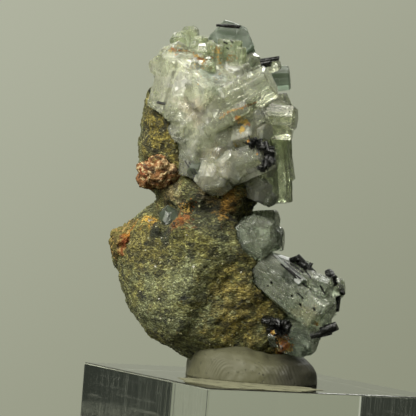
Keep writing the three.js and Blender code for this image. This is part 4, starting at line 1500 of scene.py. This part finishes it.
# ---- schorl
@dataclass(frozen=True)
class Rod:
    """One schorl crystal, rounded three sided or six sided, striated along its length.

    Attributes:
        start: Where its axis starts, in the specimen's millimetres.
        end: Where its axis ends.
        radius: Middle to corner.
        sides: How many sides it has.
        spin: Turn about its axis, in degrees.
    """

    start: Point
    end: Point
    radius: float
    sides: int = 6
    spin: float = 0.0

    def shape(self, rng: random.Random) -> Shape:
        """Return the crystal as a closed, striated rod with a broken end."""
        axis = Vector(self.end) - Vector(self.start)
        bm = bmesh.new()
        bmesh.ops.create_cone(
            bm, cap_ends=True, segments=SCHORL_AROUND, radius1=1.0, radius2=rng.uniform(0.88, 1.0), depth=axis.length
        )
        side = math.tau / self.sides
        grooves = [1 + rng.uniform(-0.08, 0.02) for _ in range(SCHORL_AROUND)]
        for vert in bm.verts:
            angle = math.atan2(vert.co.y, vert.co.x) % math.tau
            groove = grooves[round(angle / math.tau * SCHORL_AROUND) % SCHORL_AROUND]
            size = math.hypot(vert.co.x, vert.co.y) * self.radius * groove
            folded = (angle % side) - side / 2
            size *= 0.35 + 0.65 * math.cos(side / 2) / math.cos(folded)
            turned = angle + math.radians(self.spin)
            vert.co = (math.sin(turned) * size, -math.cos(turned) * size, vert.co.z + axis.length / 2)
        for _ in range(2):
            tilt = Vector((rng.uniform(-0.7, 0.7), rng.uniform(-0.7, 0.7), 1)).normalized()
            slice_off(bm, Vector((0, 0, axis.length - self.radius * rng.uniform(0.05, 0.35))), tilt)
        bmesh.ops.recalc_face_normals(bm, faces=bm.faces)
        bmesh.ops.transform(bm, matrix=laid_along(self.start, axis), verts=bm.verts)
        return bm


@dataclass
class Schorl:
    """Every black crystal, each piece named for the node that it stands for.

    Attributes:
        material: The schorl's material.
        seed: Start of the random draws.
        rods: The large crystals, by node.
        tufts: The path of a tuft of short rods, how many there are for each part of it, and their size, by node.
        needles: Needles in the surface: x and z at both ends, and the radius, in the specimen's millimetres.
    """

    material: Material
    seed: int = 5
    rods: dict[str, list[Rod]] = field(
        default_factory=lambda: {
            "schorl_cap": [
                Rod((-1.4, -11.4, 33.2), (0.6, -11.8, 33.0), 0.4, 6, 10),
                Rod((0.6, -11.2, 33.0), (0.2, -11.7, 30.0), 0.5, 6, 30),
            ],
            "schorl_crown_blade": [
                Rod((-6.6, 0.7, 50.25), (-4.9, 0.5, 50.15), 0.24, 3, 40),
                Rod((-5.4, 0.6, 50.2), (-3.1, 0.6, 50.0), 0.32, 3, 40),
            ],
            "schorl_shoulder_blade": [
                Rod((-0.4, -1.9, 45.1), (2.3, -2.4, 45.5), 0.4, 3, 30),
                Rod((-0.2, -1.7, 44.6), (1.3, -2.1, 44.9), 0.6, 6, 0),
            ],
            "schorl_hook": [
                Rod((4.6, -2.4, 17.4), (7.0, -3.2, 15.0), 0.75, 6, 15),
                Rod((5.4, -2.8, 16.2), (7.2, -3.4, 14.8), 0.6, 6, 40),
                Rod((3.8, -2.0, 16.9), (5.3, -2.3, 17.5), 0.45, 6, 0),
            ],
            "schorl_rim": [
                Rod((9.9, -3.0, 13.6), (9.2, -3.8, 15.6), 0.75, 6, 20),
                Rod((9.0, -3.6, 14.4), (10.3, -3.8, 15.0), 0.5, 6, 0),
            ],
            "schorl_edge": [
                Rod((10.7, -1.2, 11.9), (10.4, -2.6, 9.8), 0.5, 3, 50),
                Rod((10.9, -1.4, 13.4), (11.2, -2.2, 12.2), 0.4, 6, 10),
            ],
            "schorl_prism": [
                Rod((8.0, -6.9, 7.1), (10.35, -7.3, 8.1), 0.8, 6, 12),
                Rod((6.6, -6.4, 6.5), (9.4, -7.1, 7.2), 0.5, 6, 30),
            ],
            "schorl_patch": [
                Rod((0.4, -6.6, 8.7), (1.4, -9.0, 8.3), 0.95, 6, 25),
                Rod((1.6, -6.6, 8.2), (2.9, -9.0, 7.8), 0.9, 6, 5),
                Rod((0.6, -7.2, 7.5), (3.3, -8.9, 7.2), 0.6, 6, 40),
                Rod((2.4, -5.0, 6.0), (3.0, -7.7, 5.2), 0.9, 6, 5),
            ],
            "schorl_sliver": [Rod((-14.8, -7.6, 39.1), (-13.6, -8.3, 38.8), 0.28, 3, 0)],
        }
    )
    tufts: dict[str, tuple[list[Point], int, float]] = field(
        default_factory=lambda: {
            "schorl_cap": (
                [(-2.2, -11.3, 33.4), (-1.1, -11.6, 33.5), (0.0, -11.7, 33.0), (0.8, -11.7, 32.2), (1.0, -11.6, 31.4),
                 (0.5, -11.5, 30.7), (-0.6, -11.3, 29.8)],
                17, 0.25,
            ),
            "schorl_patch": (
                [(0.2, -8.9, 8.9), (1.6, -9.1, 8.6), (3.3, -8.8, 8.2), (2.8, -8.8, 7.2), (1.2, -9.0, 7.5)], 9, 0.42,
            ),
            "schorl_hook": ([(4.4, -3.2, 17.2), (6.8, -3.8, 15.2)], 6, 0.28),
        }
    )
    needles: tuple[tuple[float, float, float, float, float], ...] = (
        (4.2, 14.9, 6.0, 13.4, 0.16), (4.6, 12.7, 5.5, 11.8, 0.13), (0.6, 13.6, -0.3, 12.4, 0.15),
        (6.8, 10.6, 7.1, 10.2, 0.2), (3.8, 12.4, 4.0, 12.1, 0.18), (4.9, 11.2, 5.2, 10.9, 0.16),
        (1.0, 14.2, 1.2, 13.8, 0.16), (2.2, 25.0, 2.6, 22.2, 0.28), (3.2, 16.6, 4.6, 15.4, 0.14),
        (5.6, 16.0, 6.6, 14.6, 0.15), (7.9, 13.6, 8.6, 12.4, 0.13), (2.4, 16.6, 4.4, 14.9, 0.15),
        (2.9, 16.9, 5.0, 15.2, 0.17), (3.3, 16.1, 5.2, 14.5, 0.13), (3.8, 16.6, 5.6, 15.3, 0.16),
        (-3.0, 33.6, -1.2, 32.6, 0.08), (-2.2, 34.6, -1.4, 32.2, 0.07), (-1.6, 34.2, 0.2, 31.4, 0.08),
        (-0.2, 34.0, -1.2, 31.0, 0.07), (-11.6, 30.6, -10.2, 28.2, 0.12), (-11.0, 31.0, -9.6, 28.8, 0.1),
        (-10.4, 30.8, -9.2, 29.2, 0.09), (-5.6, 47.7, -5.0, 47.4, 0.13), (-4.6, 47.9, -4.2, 47.5, 0.11),
        (-5.2, 46.9, -4.8, 46.6, 0.09),
    )

    def needle_rods(self, carriers: list[Piece]) -> list[Rod]:
        """Return thin needles that lie half sunk in the surface of the carriers."""
        rods = []
        for x0, z0, x1, z1, radius in self.needles:
            ends = surface_at(x0, z0, carriers), surface_at(x1, z1, carriers)
            if all(ends):
                rods.append(Rod(tuple(ends[0][0]), tuple(ends[1][0]), radius, 6))
        return rods

    def tangle(self, node: str, rng: random.Random) -> list[Rod]:
        """Return the short rods that cover a node's crystals in a tuft."""
        path, count, thick = self.tufts[node]
        rods = []
        for start, end in zip(path, path[1:]):
            for _ in range(count):
                middle = Vector(start).lerp(Vector(end), rng.random())
                middle += Vector((rng.gauss(0, 0.22), rng.gauss(0, 0.25), rng.gauss(0, 0.22)))
                half = Vector((rng.gauss(0.5, 0.5), rng.gauss(-0.4, 0.4), rng.gauss(-0.1, 0.5)))
                half *= rng.uniform(0.35, 0.8) / half.length
                radius = thick * rng.choice((0.35, 0.6, 1.0, 1.4))
                rods.append(Rod(tuple(middle - half), tuple(middle + half), radius, 6, rng.uniform(0, 60)))
        return rods

    def build(self, carriers: list[Piece]) -> list[Piece]:
        """Build one piece for each node, and one of loose needles.

        Args:
            carriers: Crystals and rock that carry the needles.

        Returns:
            The pieces.
        """
        rng = random.Random(self.seed)
        pieces = []
        for node, rods in self.rods.items():
            if node in self.tufts:
                rods = rods + self.tangle(node, rng)
            piece = joined(node + "_crystals", [rod.shape(rng) for rod in rods], STAND.matrix(), self.material)
            finish_piece(piece, "schorl", node)
            pieces.append(piece)
        shapes = [rod.shape(rng) for rod in self.needle_rods(carriers)]
        piece = joined("schorl_needles", shapes, STAND.matrix(), self.material)
        finish_piece(piece, "schorl")
        return [*pieces, piece]


@dataclass
class Seams:
    """Crusts of iron oxide along the seams between crystals, and in small spots.

    Attributes:
        material: The crusts' material.
        seed: Start of the random draws.
        step: Distance between lumps along a seam, in millimetres.
        spread: How far they stray from it.
        lump: Least and greatest radius of a lump.
        paths: The seams, by places x and z.
        blots: The spots: x, z, spread and number of lumps.
    """

    material: Material
    seed: int = 17
    step: float = 0.07
    spread: float = 0.09
    lump: Pair = (0.04, 0.12)
    paths: tuple[tuple[Pair, ...], ...] = (
        ((-6.2, 36.9), (-5.0, 37.7), (-2.8, 38.4), (-1.0, 39.1)),
        ((-3.9, 36.9), (-3.4, 36.4), (-2.5, 36.2)),
        ((-3.2, 35.6), (-2.9, 35.0)),
        ((-4.2, 33.3), (-3.6, 33.0)),
        ((-9.4, 45.6), (-8.6, 45.1), (-8.1, 44.5)),
        ((-6.4, 45.6), (-6.1, 44.6)),
        ((-13.0, 46.6), (-11.2, 46.3), (-10.2, 46.4)),
        ((-16.0, 40.4), (-16.2, 39.6)),
    )
    blots: tuple[tuple[float, float, float, int], ...] = (
        (-3.5, 36.7, 0.5, 110), (-2.5, 36.2, 0.4, 80), (-3.0, 35.3, 0.35, 60), (-8.5, 45.0, 0.5, 30),
        (-6.5, 46.3, 0.5, 24), (-9.4, 45.6, 0.4, 20), (2.6, 6.0, 0.8, 190), (3.2, 5.0, 0.8, 190),
        (2.2, 4.2, 0.6, 110), (7.4, 8.2, 0.3, 40), (-2.2, 33.7, 0.2, 30), (-1.0, 31.9, 0.12, 12),
        (-7.8, 44.6, 2.8, 70), (-4.6, 45.6, 1.0, 20), (1.2, 7.2, 0.4, 30), (-10.8, 24.4, 1.0, 90),
        (-12.4, 46.4, 1.0, 26),
    )

    def spots(self, rng: random.Random) -> list[Pair]:
        """Return the places of every lump, along the paths and in the blots."""
        places = []
        for path in self.paths:
            for start, end in zip(path, path[1:]):
                steps = max(2, int(math.dist(start, end) / self.step))
                for i in range(steps):
                    where = (a + (b - a) * i / steps for a, b in zip(start, end))
                    places.append(tuple(at + rng.gauss(0, self.spread) for at in where))
        for x, z, spread, count in self.blots:
            places += [(x + rng.gauss(0, spread * 0.5), z + rng.gauss(0, spread * 0.5)) for _ in range(count)]
        return places

    def build(self, pieces: list[Piece]) -> Piece:
        """Build every crust as one piece.

        Args:
            pieces: The crystals that carry them.

        Returns:
            The piece.
        """
        rng = random.Random(self.seed)
        heap = Heap()
        for x, z in self.spots(rng):
            found = surface_at(x, z, pieces)
            if found is None:
                continue
            where, facing = found
            lump = bmesh.new()
            bmesh.ops.create_icosphere(lump, subdivisions=1, radius=rng.uniform(*self.lump))
            bmesh.ops.scale(lump, vec=(rng.uniform(0.7, 1.6), rng.uniform(0.7, 1.6), 0.3), verts=lump.verts)
            bmesh.ops.transform(lump, matrix=stood_on(where, facing), verts=lump.verts)
            heap.add(lump)
        piece = mesh_object("iron_oxide_seams", heap.done(), STAND.matrix(), [self.material])
        finish_piece(piece, "matrix")
        return piece


# ---- rock, feldspar and putty
def node_copy(node: str) -> Shape:
    """Return a merged copy of a CAD node's mesh."""
    bm = bmesh.new()
    bm.from_mesh(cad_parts[node].data)
    bmesh.ops.remove_doubles(bm, verts=bm.verts, dist=1e-6)
    return bm


ROCK_WAVES = ((3.4, 0.42), (1.2, 0.2), (0.45, 0.13))
FELDSPAR_WAVES = ((1.9, 0.7), (0.8, 0.45), (0.35, 0.15))
RUSTY_TINTS = (
    Tint((-17.4, -6.0, 20.9), 2.4, 1.2, (0.46, 0.20, 0.02), 0.95),
    Tint((-18.8, -6.0, 18.6), 2.4, 1.0, (0.17, 0.042, 0.012), 0.92),
    Tint((-15.8, -6.0, 22.8), 1.2, 1.0, (0.45, 0.26, 0.03), 0.8),
)
PINKISH_TINTS = (
    Tint((-15.2, -6.0, 32.8), 1.8, 1.6, (0.20, 0.165, 0.055), 0.85),
    Tint((-13.6, -6.0, 30.4), 1.4, 1.2, (0.34, 0.24, 0.13), 0.7),
    Tint((-17.0, -6.0, 30.0), 1.6, 1.2, (0.21, 0.055, 0.022), 0.8),
)
DENTS = (
    (-13.6, 23.6, 2.0, 1.3), (-15.6, 24.2, 1.3, 0.6), (-14.6, 21.6, 1.5, -0.8), (-12.0, 21.8, 1.7, -0.8),
    (-10.0, 24.4, 1.3, 0.7), (-7.4, 24.8, 1.6, 0.8), (-2.6, 20.6, 1.5, 0.6), (-6.0, 22.2, 1.4, -0.5),
    (-15.3, 35.3, 1.0, 0.6), (-14.2, 32.6, 1.2, 0.5), (-12.6, 28.6, 1.3, 0.5), (-4.6, 25.6, 1.2, -0.5),
    (0.4, 15.6, 1.0, -0.5),
)


@dataclass
class Roughened:
    """A stone made from a CAD node: remeshed finely and given its relief.

    Attributes:
        name: The new piece's name.
        node: The CAD node.
        slot: The record's material slot.
        material: The piece's material.
        voxel_mm: Size of the new mesh's cells.
        waves: Sizes and heights of the relief, in millimetres.
        soften: Rounds of smoothing before the relief.
        dents: Hollows in the front: x, z, radius and depth, all in the specimen's millimetres.
    """

    name: str
    node: str
    slot: str
    material: Material
    voxel_mm: float
    waves: tuple[Pair, ...]
    soften: int = 2
    dents: tuple[tuple[float, float, float, float], ...] = ()

    def press(self, mesh: bpy.types.Mesh) -> None:
        """Push the dents into the front, and the lumps out of it."""
        back = STAND.matrix().inverted()
        for vert, normal in [(v, v.normal.copy()) for v in mesh.vertices]:
            spot = back @ vert.co
            if spot.y > -1.0:
                continue
            for x, z, radius, depth in self.dents:
                near = 1 - ((spot.x - x) ** 2 + (spot.z - z) ** 2) / radius**2
                if near > 0:
                    vert.co -= normal * near * near * depth * MM

    def build(self) -> Piece:
        """Build the piece."""
        piece = mesh_object(self.name, node_copy(self.node), Matrix.Identity(4), [self.material])
        weathered(piece, self.voxel_mm, self.soften, self.waves)
        self.press(piece.data)
        finish_piece(piece, self.slot, self.node)
        return piece


@dataclass
class PuttyWad:
    """The wad of putty between rock and block, level on the block.

    Attributes:
        material: The putty's material.
        form: Its lump, in millimetres level with the block.
        waves: Sizes and heights of its relief, in millimetres.
        lift: Height of its foot above the block's top, in millimetres.
    """

    material: Material
    form: Mass = Mass(
        (-1.8, -0.6, 0.4), (
            (7.4, 0.9), (7.25, 1.9), (6.5, 2.8), (5.2, 3.7), (3.6, 3.9), (0.7, 3.6), (-1.5, 4.1), (-3.0, 5.0),
            (-4.4, 5.2), (-6.5, 4.95), (-7.9, 4.7), (-9.8, 3.9), (-10.6, 2.7), (-10.8, 1.7), (-10.6, -2.4),
            (-4.0, -3.6), (2.0, -3.6), (7.3, -2.4),
        ),
        8.4, 8.0, splits=0, roundness=3.0,
    )
    waves: tuple[Pair, ...] = ((4.2, 0.34), (1.5, 0.05))
    lift: float = 0.01

    def build(self) -> Piece:
        """Build the wad."""
        piece = mesh_object("putty_wad", self.form.shape(random.Random(1)), STAND.level(), [self.material])
        weathered(piece, 0.22, 3, self.waves)
        bm = bmesh.new()
        bm.from_mesh(piece.data)
        slice_off(bm, Vector((0, 0, (STAND.block_height + self.lift) * MM)), Vector((0, 0, -1)))
        for face in bm.faces:
            face.smooth = face.normal.z > -0.99  # all but the flat foot
        bm.to_mesh(piece.data)
        bm.free()
        finish_piece(piece, "putty", "putty")
        return piece


@dataclass
class PuttySmearAndReflection:
    """The film that the putty left on the block's top in front of the wad, which also stands in as a painted
    reflection of the wad.

    Attributes:
        material: The film's material.
        middle: Its middle, in millimetres level with the block.
        half: Half its width and half its depth.
        waves: How its outline wanders: paces round it and shares of its size.
        above: Height of its underside above the block's top.
        thick: Its thickness.
        reach: Distance from the block's middle to the edge where it ends.
    """

    material: Material
    middle: Pair = (-1.9, -12.6)
    half: Pair = (9.4, 8.2)
    waves: tuple[Pair, ...] = ((1.9, 0.24), (5.0, 0.13), (16.0, 0.04))
    above: float = 0.012
    thick: float = 0.03
    reach: float = 18.7

    def build(self) -> Piece:
        """Build the film."""
        bm = bmesh.new()
        bmesh.ops.create_circle(bm, cap_ends=True, segments=240, radius=1.0)
        for vert in bm.verts:
            ragged = 1.0
            for pace, share in self.waves:
                ragged += share * noise.noise(vert.co * pace)
            x, y = (mid + at * half * ragged for mid, at, half in zip(self.middle, vert.co.xy, self.half))
            vert.co = (x, y, self.above)
        edge = Matrix.Rotation(math.radians(-STAND.turn), 3, "Z") @ Vector((0, -1, 0))
        flat = bm.verts[:] + bm.edges[:] + bm.faces[:]
        bmesh.ops.bisect_plane(bm, geom=flat, plane_co=edge * self.reach, plane_no=edge, clear_outer=True)
        raised = bmesh.ops.extrude_face_region(bm, geom=bm.faces[:])["geom"]
        verts = [part for part in raised if isinstance(part, bmesh.types.BMVert)]
        bmesh.ops.translate(bm, vec=(0, 0, self.thick), verts=verts)
        bmesh.ops.recalc_face_normals(bm, faces=bm.faces)
        piece = mesh_object("putty_smear", bm, STAND.level(), [self.material])
        finish_piece(piece, "putty")
        return piece


@dataclass
class MicaFlakes:
    """Loose ends of mica plates that stand out of the rock.

    Attributes:
        material: The plates' material.
        count: How many there are.
        size: Least and greatest radius, in millimetres.
        thick: Their thickness, and their height above the rock, in millimetres.
        seed: Start of the random draws.
    """

    material: Material
    count: int = 2600
    size: Pair = (0.08, 0.2)
    thick: float = 0.03
    seed: int = 31

    def build(self, rock: Piece) -> Piece:
        """Scatter the plates over the rock.

        Args:
            rock: The rock's finished piece.

        Returns:
            The piece with every plate.
        """
        rng = random.Random(self.seed)
        heap = Heap()
        verts = rock.data.vertices
        for _ in range(self.count):
            vert = verts[rng.randrange(len(verts))]
            facing = (vert.normal + any_way(rng) * 0.35).normalized()
            size = rng.uniform(*self.size) * MM
            plate = bmesh.new()
            bmesh.ops.create_cone(
                plate, cap_ends=True, segments=6, radius1=size, radius2=size * 0.9, depth=self.thick * MM
            )
            where = vert.co + vert.normal * self.thick * MM
            bmesh.ops.transform(plate, matrix=stood_on(where, facing), verts=plate.verts)
            heap.add(plate)
        piece = mesh_object("mica_flakes", heap.done(), Matrix.Identity(4), [self.material])
        finish_piece(piece, "matrix")
        return piece


@dataclass
class DisplayBlock:
    """The clear square block, with softly broken edges.

    Attributes:
        material: The block's material.
        side: Its side, in millimetres.
        height: Its height.
        edge: Width of the broken edges.
    """

    material: Material
    side: float = 38.0
    height: float = STAND.block_height
    edge: float = 0.25

    def build(self) -> Piece:
        """Build the block."""
        bm = bmesh.new()
        bmesh.ops.create_cube(bm, size=1.0)
        bmesh.ops.scale(bm, vec=(self.side, self.side, self.height), verts=bm.verts)
        bmesh.ops.translate(bm, vec=(0, 0, self.height / 2), verts=bm.verts)
        bevelled(bm, bm.edges[:], self.edge, 3)
        piece = mesh_object("clear_display_block", bm, Matrix.Scale(MM, 4), [self.material])
        finish_piece(piece, "acrylic", "display_block")
        return piece


# ---- the studio
@dataclass(frozen=True)
class Glow:
    """A soft patch of light or shade in the room.

    Attributes:
        way: Its direction from the specimen: to its right, towards its back, and up.
        low: Cosine of the angle off that direction where it starts.
        high: The same where it shows in full.
        colour: Its light.
        share: How much of the room's own light it covers.
    """

    way: Point
    low: float
    high: float
    colour: Colour
    share: float = 1.0

    def mask(self, desk: Desk, way: Socket, turn: Matrix) -> Socket:
        """Return its mask.

        Args:
            desk: The room's desk.
            way: The direction that is looked in.
            turn: Turn of the specimen.

        Returns:
            The mask, up to its share.
        """
        facing = (turn @ Vector(self.way)).normalized()
        near = desk.vector("DOT_PRODUCT", way, facing).outputs["Value"]
        return desk.times(desk.span(near, self.low, self.high), self.share)


GLOWS = (
    Glow((-0.6, 0.0, 0.8), -0.16, 0.16, (0.46, 0.478, 0.375)),  # the paler upper left
    Glow((-0.5, -0.48, 0.8), 0.72, 0.95, (3.9, 3.8, 3.4)),  # the main light, from the upper left
    Glow((0.1, 0.6, 0.8), 0.8, 0.97, (1.2, 1.2, 1.1)),  # a weaker one behind
    Glow((0.0, 0.0, 1.0), -0.12, -0.5, (0.20, 0.20, 0.15)),  # the dimmer ground
    Glow((0.85, -0.5, -0.1), 0.15, 0.6, (0.05, 0.054, 0.038), 0.9),  # shade on the right
    Glow((-0.83485, 0.55048, 0.03), 0.86, 0.93, (0.030, 0.034, 0.026)),  # dark, at the back left
    Glow((0.83485, -0.55048, 0.03), 0.86, 0.93, (0.030, 0.034, 0.026)),  # dark, at the front right
)


@dataclass
class Studio:
    """Pale floor, soft light and the camera.

    Attributes:
        azimuth: Camera's way round the object, in degrees.
        elevation: Camera's height above the horizon, in degrees.
        roll: Turn of the camera about its own axis, in degrees.
        distance: From the camera to the middle of the block's top, in millimetres.
        shift_right: Middle of the picture to the right of that place.
        shift_up: Middle of the picture above it.
        focal_px: Focal length in pixels of the picture.
        frame_px: The picture's side in pixels.
        sensor: The sensor's width, in millimetres.
        room: The room's own light.
        aim_height: Height that the lamps aim at, in metres.
        lamp_distance: Distance of the lamps, in metres.
    """

    azimuth: float = STAND.turn
    elevation: float = 0.6
    roll: float = STAND.lean
    distance: float = 425.0
    shift_right: float = -9.7
    shift_up: float = 23.65
    focal_px: float = 3000.0
    frame_px: int = 416
    sensor: float = 36.0
    room: Colour = (0.255, 0.268, 0.188)
    aim_height: float = 0.04
    lamp_distance: float = 0.7

    def camera(self) -> None:
        """Place the camera as the photograph's."""
        a, e, r = (math.radians(v) for v in (self.azimuth, self.elevation, self.roll))
        right = Vector((math.cos(a), math.sin(a), 0))
        ahead = Vector((-math.sin(a) * math.cos(e), math.cos(a) * math.cos(e), -math.sin(e)))
        up = right.cross(ahead)
        spot = right * self.shift_right + up * self.shift_up - ahead * self.distance
        across = right * math.cos(r) + up * math.sin(r)
        above = up * math.cos(r) - right * math.sin(r)
        data = bpy.data.cameras.new("camera")
        data.sensor_width = self.sensor
        data.lens = self.focal_px / self.frame_px * self.sensor
        camera = bpy.data.objects.new("camera", data)
        turn = Matrix((across, above, -ahead)).transposed().to_4x4()
        camera.matrix_world = Matrix.Translation((spot + Vector((0, 0, STAND.block_height))) * MM) @ turn
        bpy.context.scene.collection.objects.link(camera)
        bpy.context.scene.camera = camera

    def world(self) -> None:
        """Light the scene by a soft grey green room with patches of light and shade."""
        world = bpy.data.worlds.new("soft_room")
        world.use_nodes = True
        world.node_tree.nodes.clear()
        desk = Desk(world.node_tree)
        way = desk.add("TexCoord").outputs["Generated"]
        turn = Matrix.Rotation(math.radians(self.azimuth), 3, "Z")
        room = self.room
        for glow in GLOWS:
            room = desk.blend(glow.mask(desk, way, turn), room, glow.colour)
        light = desk.add("Background", Color=room, Strength=1.0)
        output = desk.add("OutputWorld", Surface=light.outputs[0])
        output.is_active_output = True
        bpy.context.scene.world = world

    def lamp(self, name: str, way: Point, size: float, power: float, colour: Colour) -> None:
        """Hang one soft square lamp round the specimen.

        Args:
            name: The lamp's name.
            way: Direction from the specimen: to its right, towards its back, and up.
            size: Side of the lamp, in metres.
            power: Its power, in watts.
            colour: Its colour.
        """
        data = bpy.data.lights.new(name, "AREA")
        data.size, data.energy, data.color = size, power, colour
        turned = Matrix.Rotation(math.radians(STAND.turn), 4, "Z") @ Vector(way)
        lamp = bpy.data.objects.new(name, data)
        aim = Vector((0, 0, self.aim_height))
        lamp.location = turned.normalized() * self.lamp_distance + aim
        lamp.rotation_euler = (lamp.location - aim).to_track_quat("Z", "Y").to_euler()
        bpy.context.scene.collection.objects.link(lamp)

    def floor(self) -> None:
        """Lay a plain pale floor that fades out."""
        bm = bmesh.new()
        bmesh.ops.create_circle(bm, cap_ends=True, segments=96, radius=0.08)
        look, desk, spot = Finish.begin("pale_floor")
        away = desk.vector("LENGTH", spot).outputs["Value"]
        look.set(Base_Color=(0.42, 0.43, 0.35), Roughness=0.8, Alpha=desk.span(away, 0.027, 0.048, (1.0, 0.0)))
        floor = mesh_object("floor", bm, Matrix.Identity(4), [look.material])

    def build(self) -> None:
        """Set up the whole studio."""
        self.camera()
        self.world()
        self.floor()
        self.lamp("key_lamp", (-0.55, -0.8, 0.75), 0.4, 5.4, (1.0, 0.99, 0.92))
        self.lamp("back_lamp", (0.1, 0.85, 0.75), 0.35, 1.5, (1.0, 1.0, 0.95))
        bpy.context.scene.view_settings.view_transform = "Standard"


def main() -> None:
    """Build every piece in order."""
    logging.basicConfig(level=logging.INFO, format="%(message)s")
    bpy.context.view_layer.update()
    Studio().build()
    beryls = {look.water: look.material() for look in BERYLS}
    upper, lower = UpperCluster(), LowerCluster()
    crystals = upper.build(beryls) + lower.build(beryls)
    LedgeCrystal().build(beryls[Water.SMOKY])
    upper.cloud(Cloud().material())
    Veils(Veil().material()).build(upper.crystals + lower.crystals)
    schorl = Schorl(Tourmaline().material()).build(crystals)
    rock = Roughened("micaceous_matrix", "matrix", "matrix", Rock().material(), 0.24, ROCK_WAVES, dents=DENTS).build()
    MicaFlakes(MicaFlake().material()).build(rock)
    Seams(IronStain().material()).build([*crystals, *schorl, rock])
    pink = Feldspar("feldspar_pinkish", (0.22, 0.098, 0.038), (0.12, 0.060, 0.017), (0.44, 0.33, 0.17), PINKISH_TINTS)
    orange = Feldspar("feldspar_rusty", (0.13, 0.11, 0.030), (0.07, 0.055, 0.016), (0.30, 0.20, 0.06), RUSTY_TINTS)
    for node, look in (("feldspar_pink", pink), ("feldspar_orange", orange)):
        Roughened(f"{node}_lump", node, "feldspar", look.material(), 0.12, FELDSPAR_WAVES).build()
    PuttyWad(Putty().material()).build()
    PuttySmearAndReflection(SmearAndReflection().material()).build()
    DisplayBlock(Acrylic().material()).build()


if __name__ == "__main__":
    main()
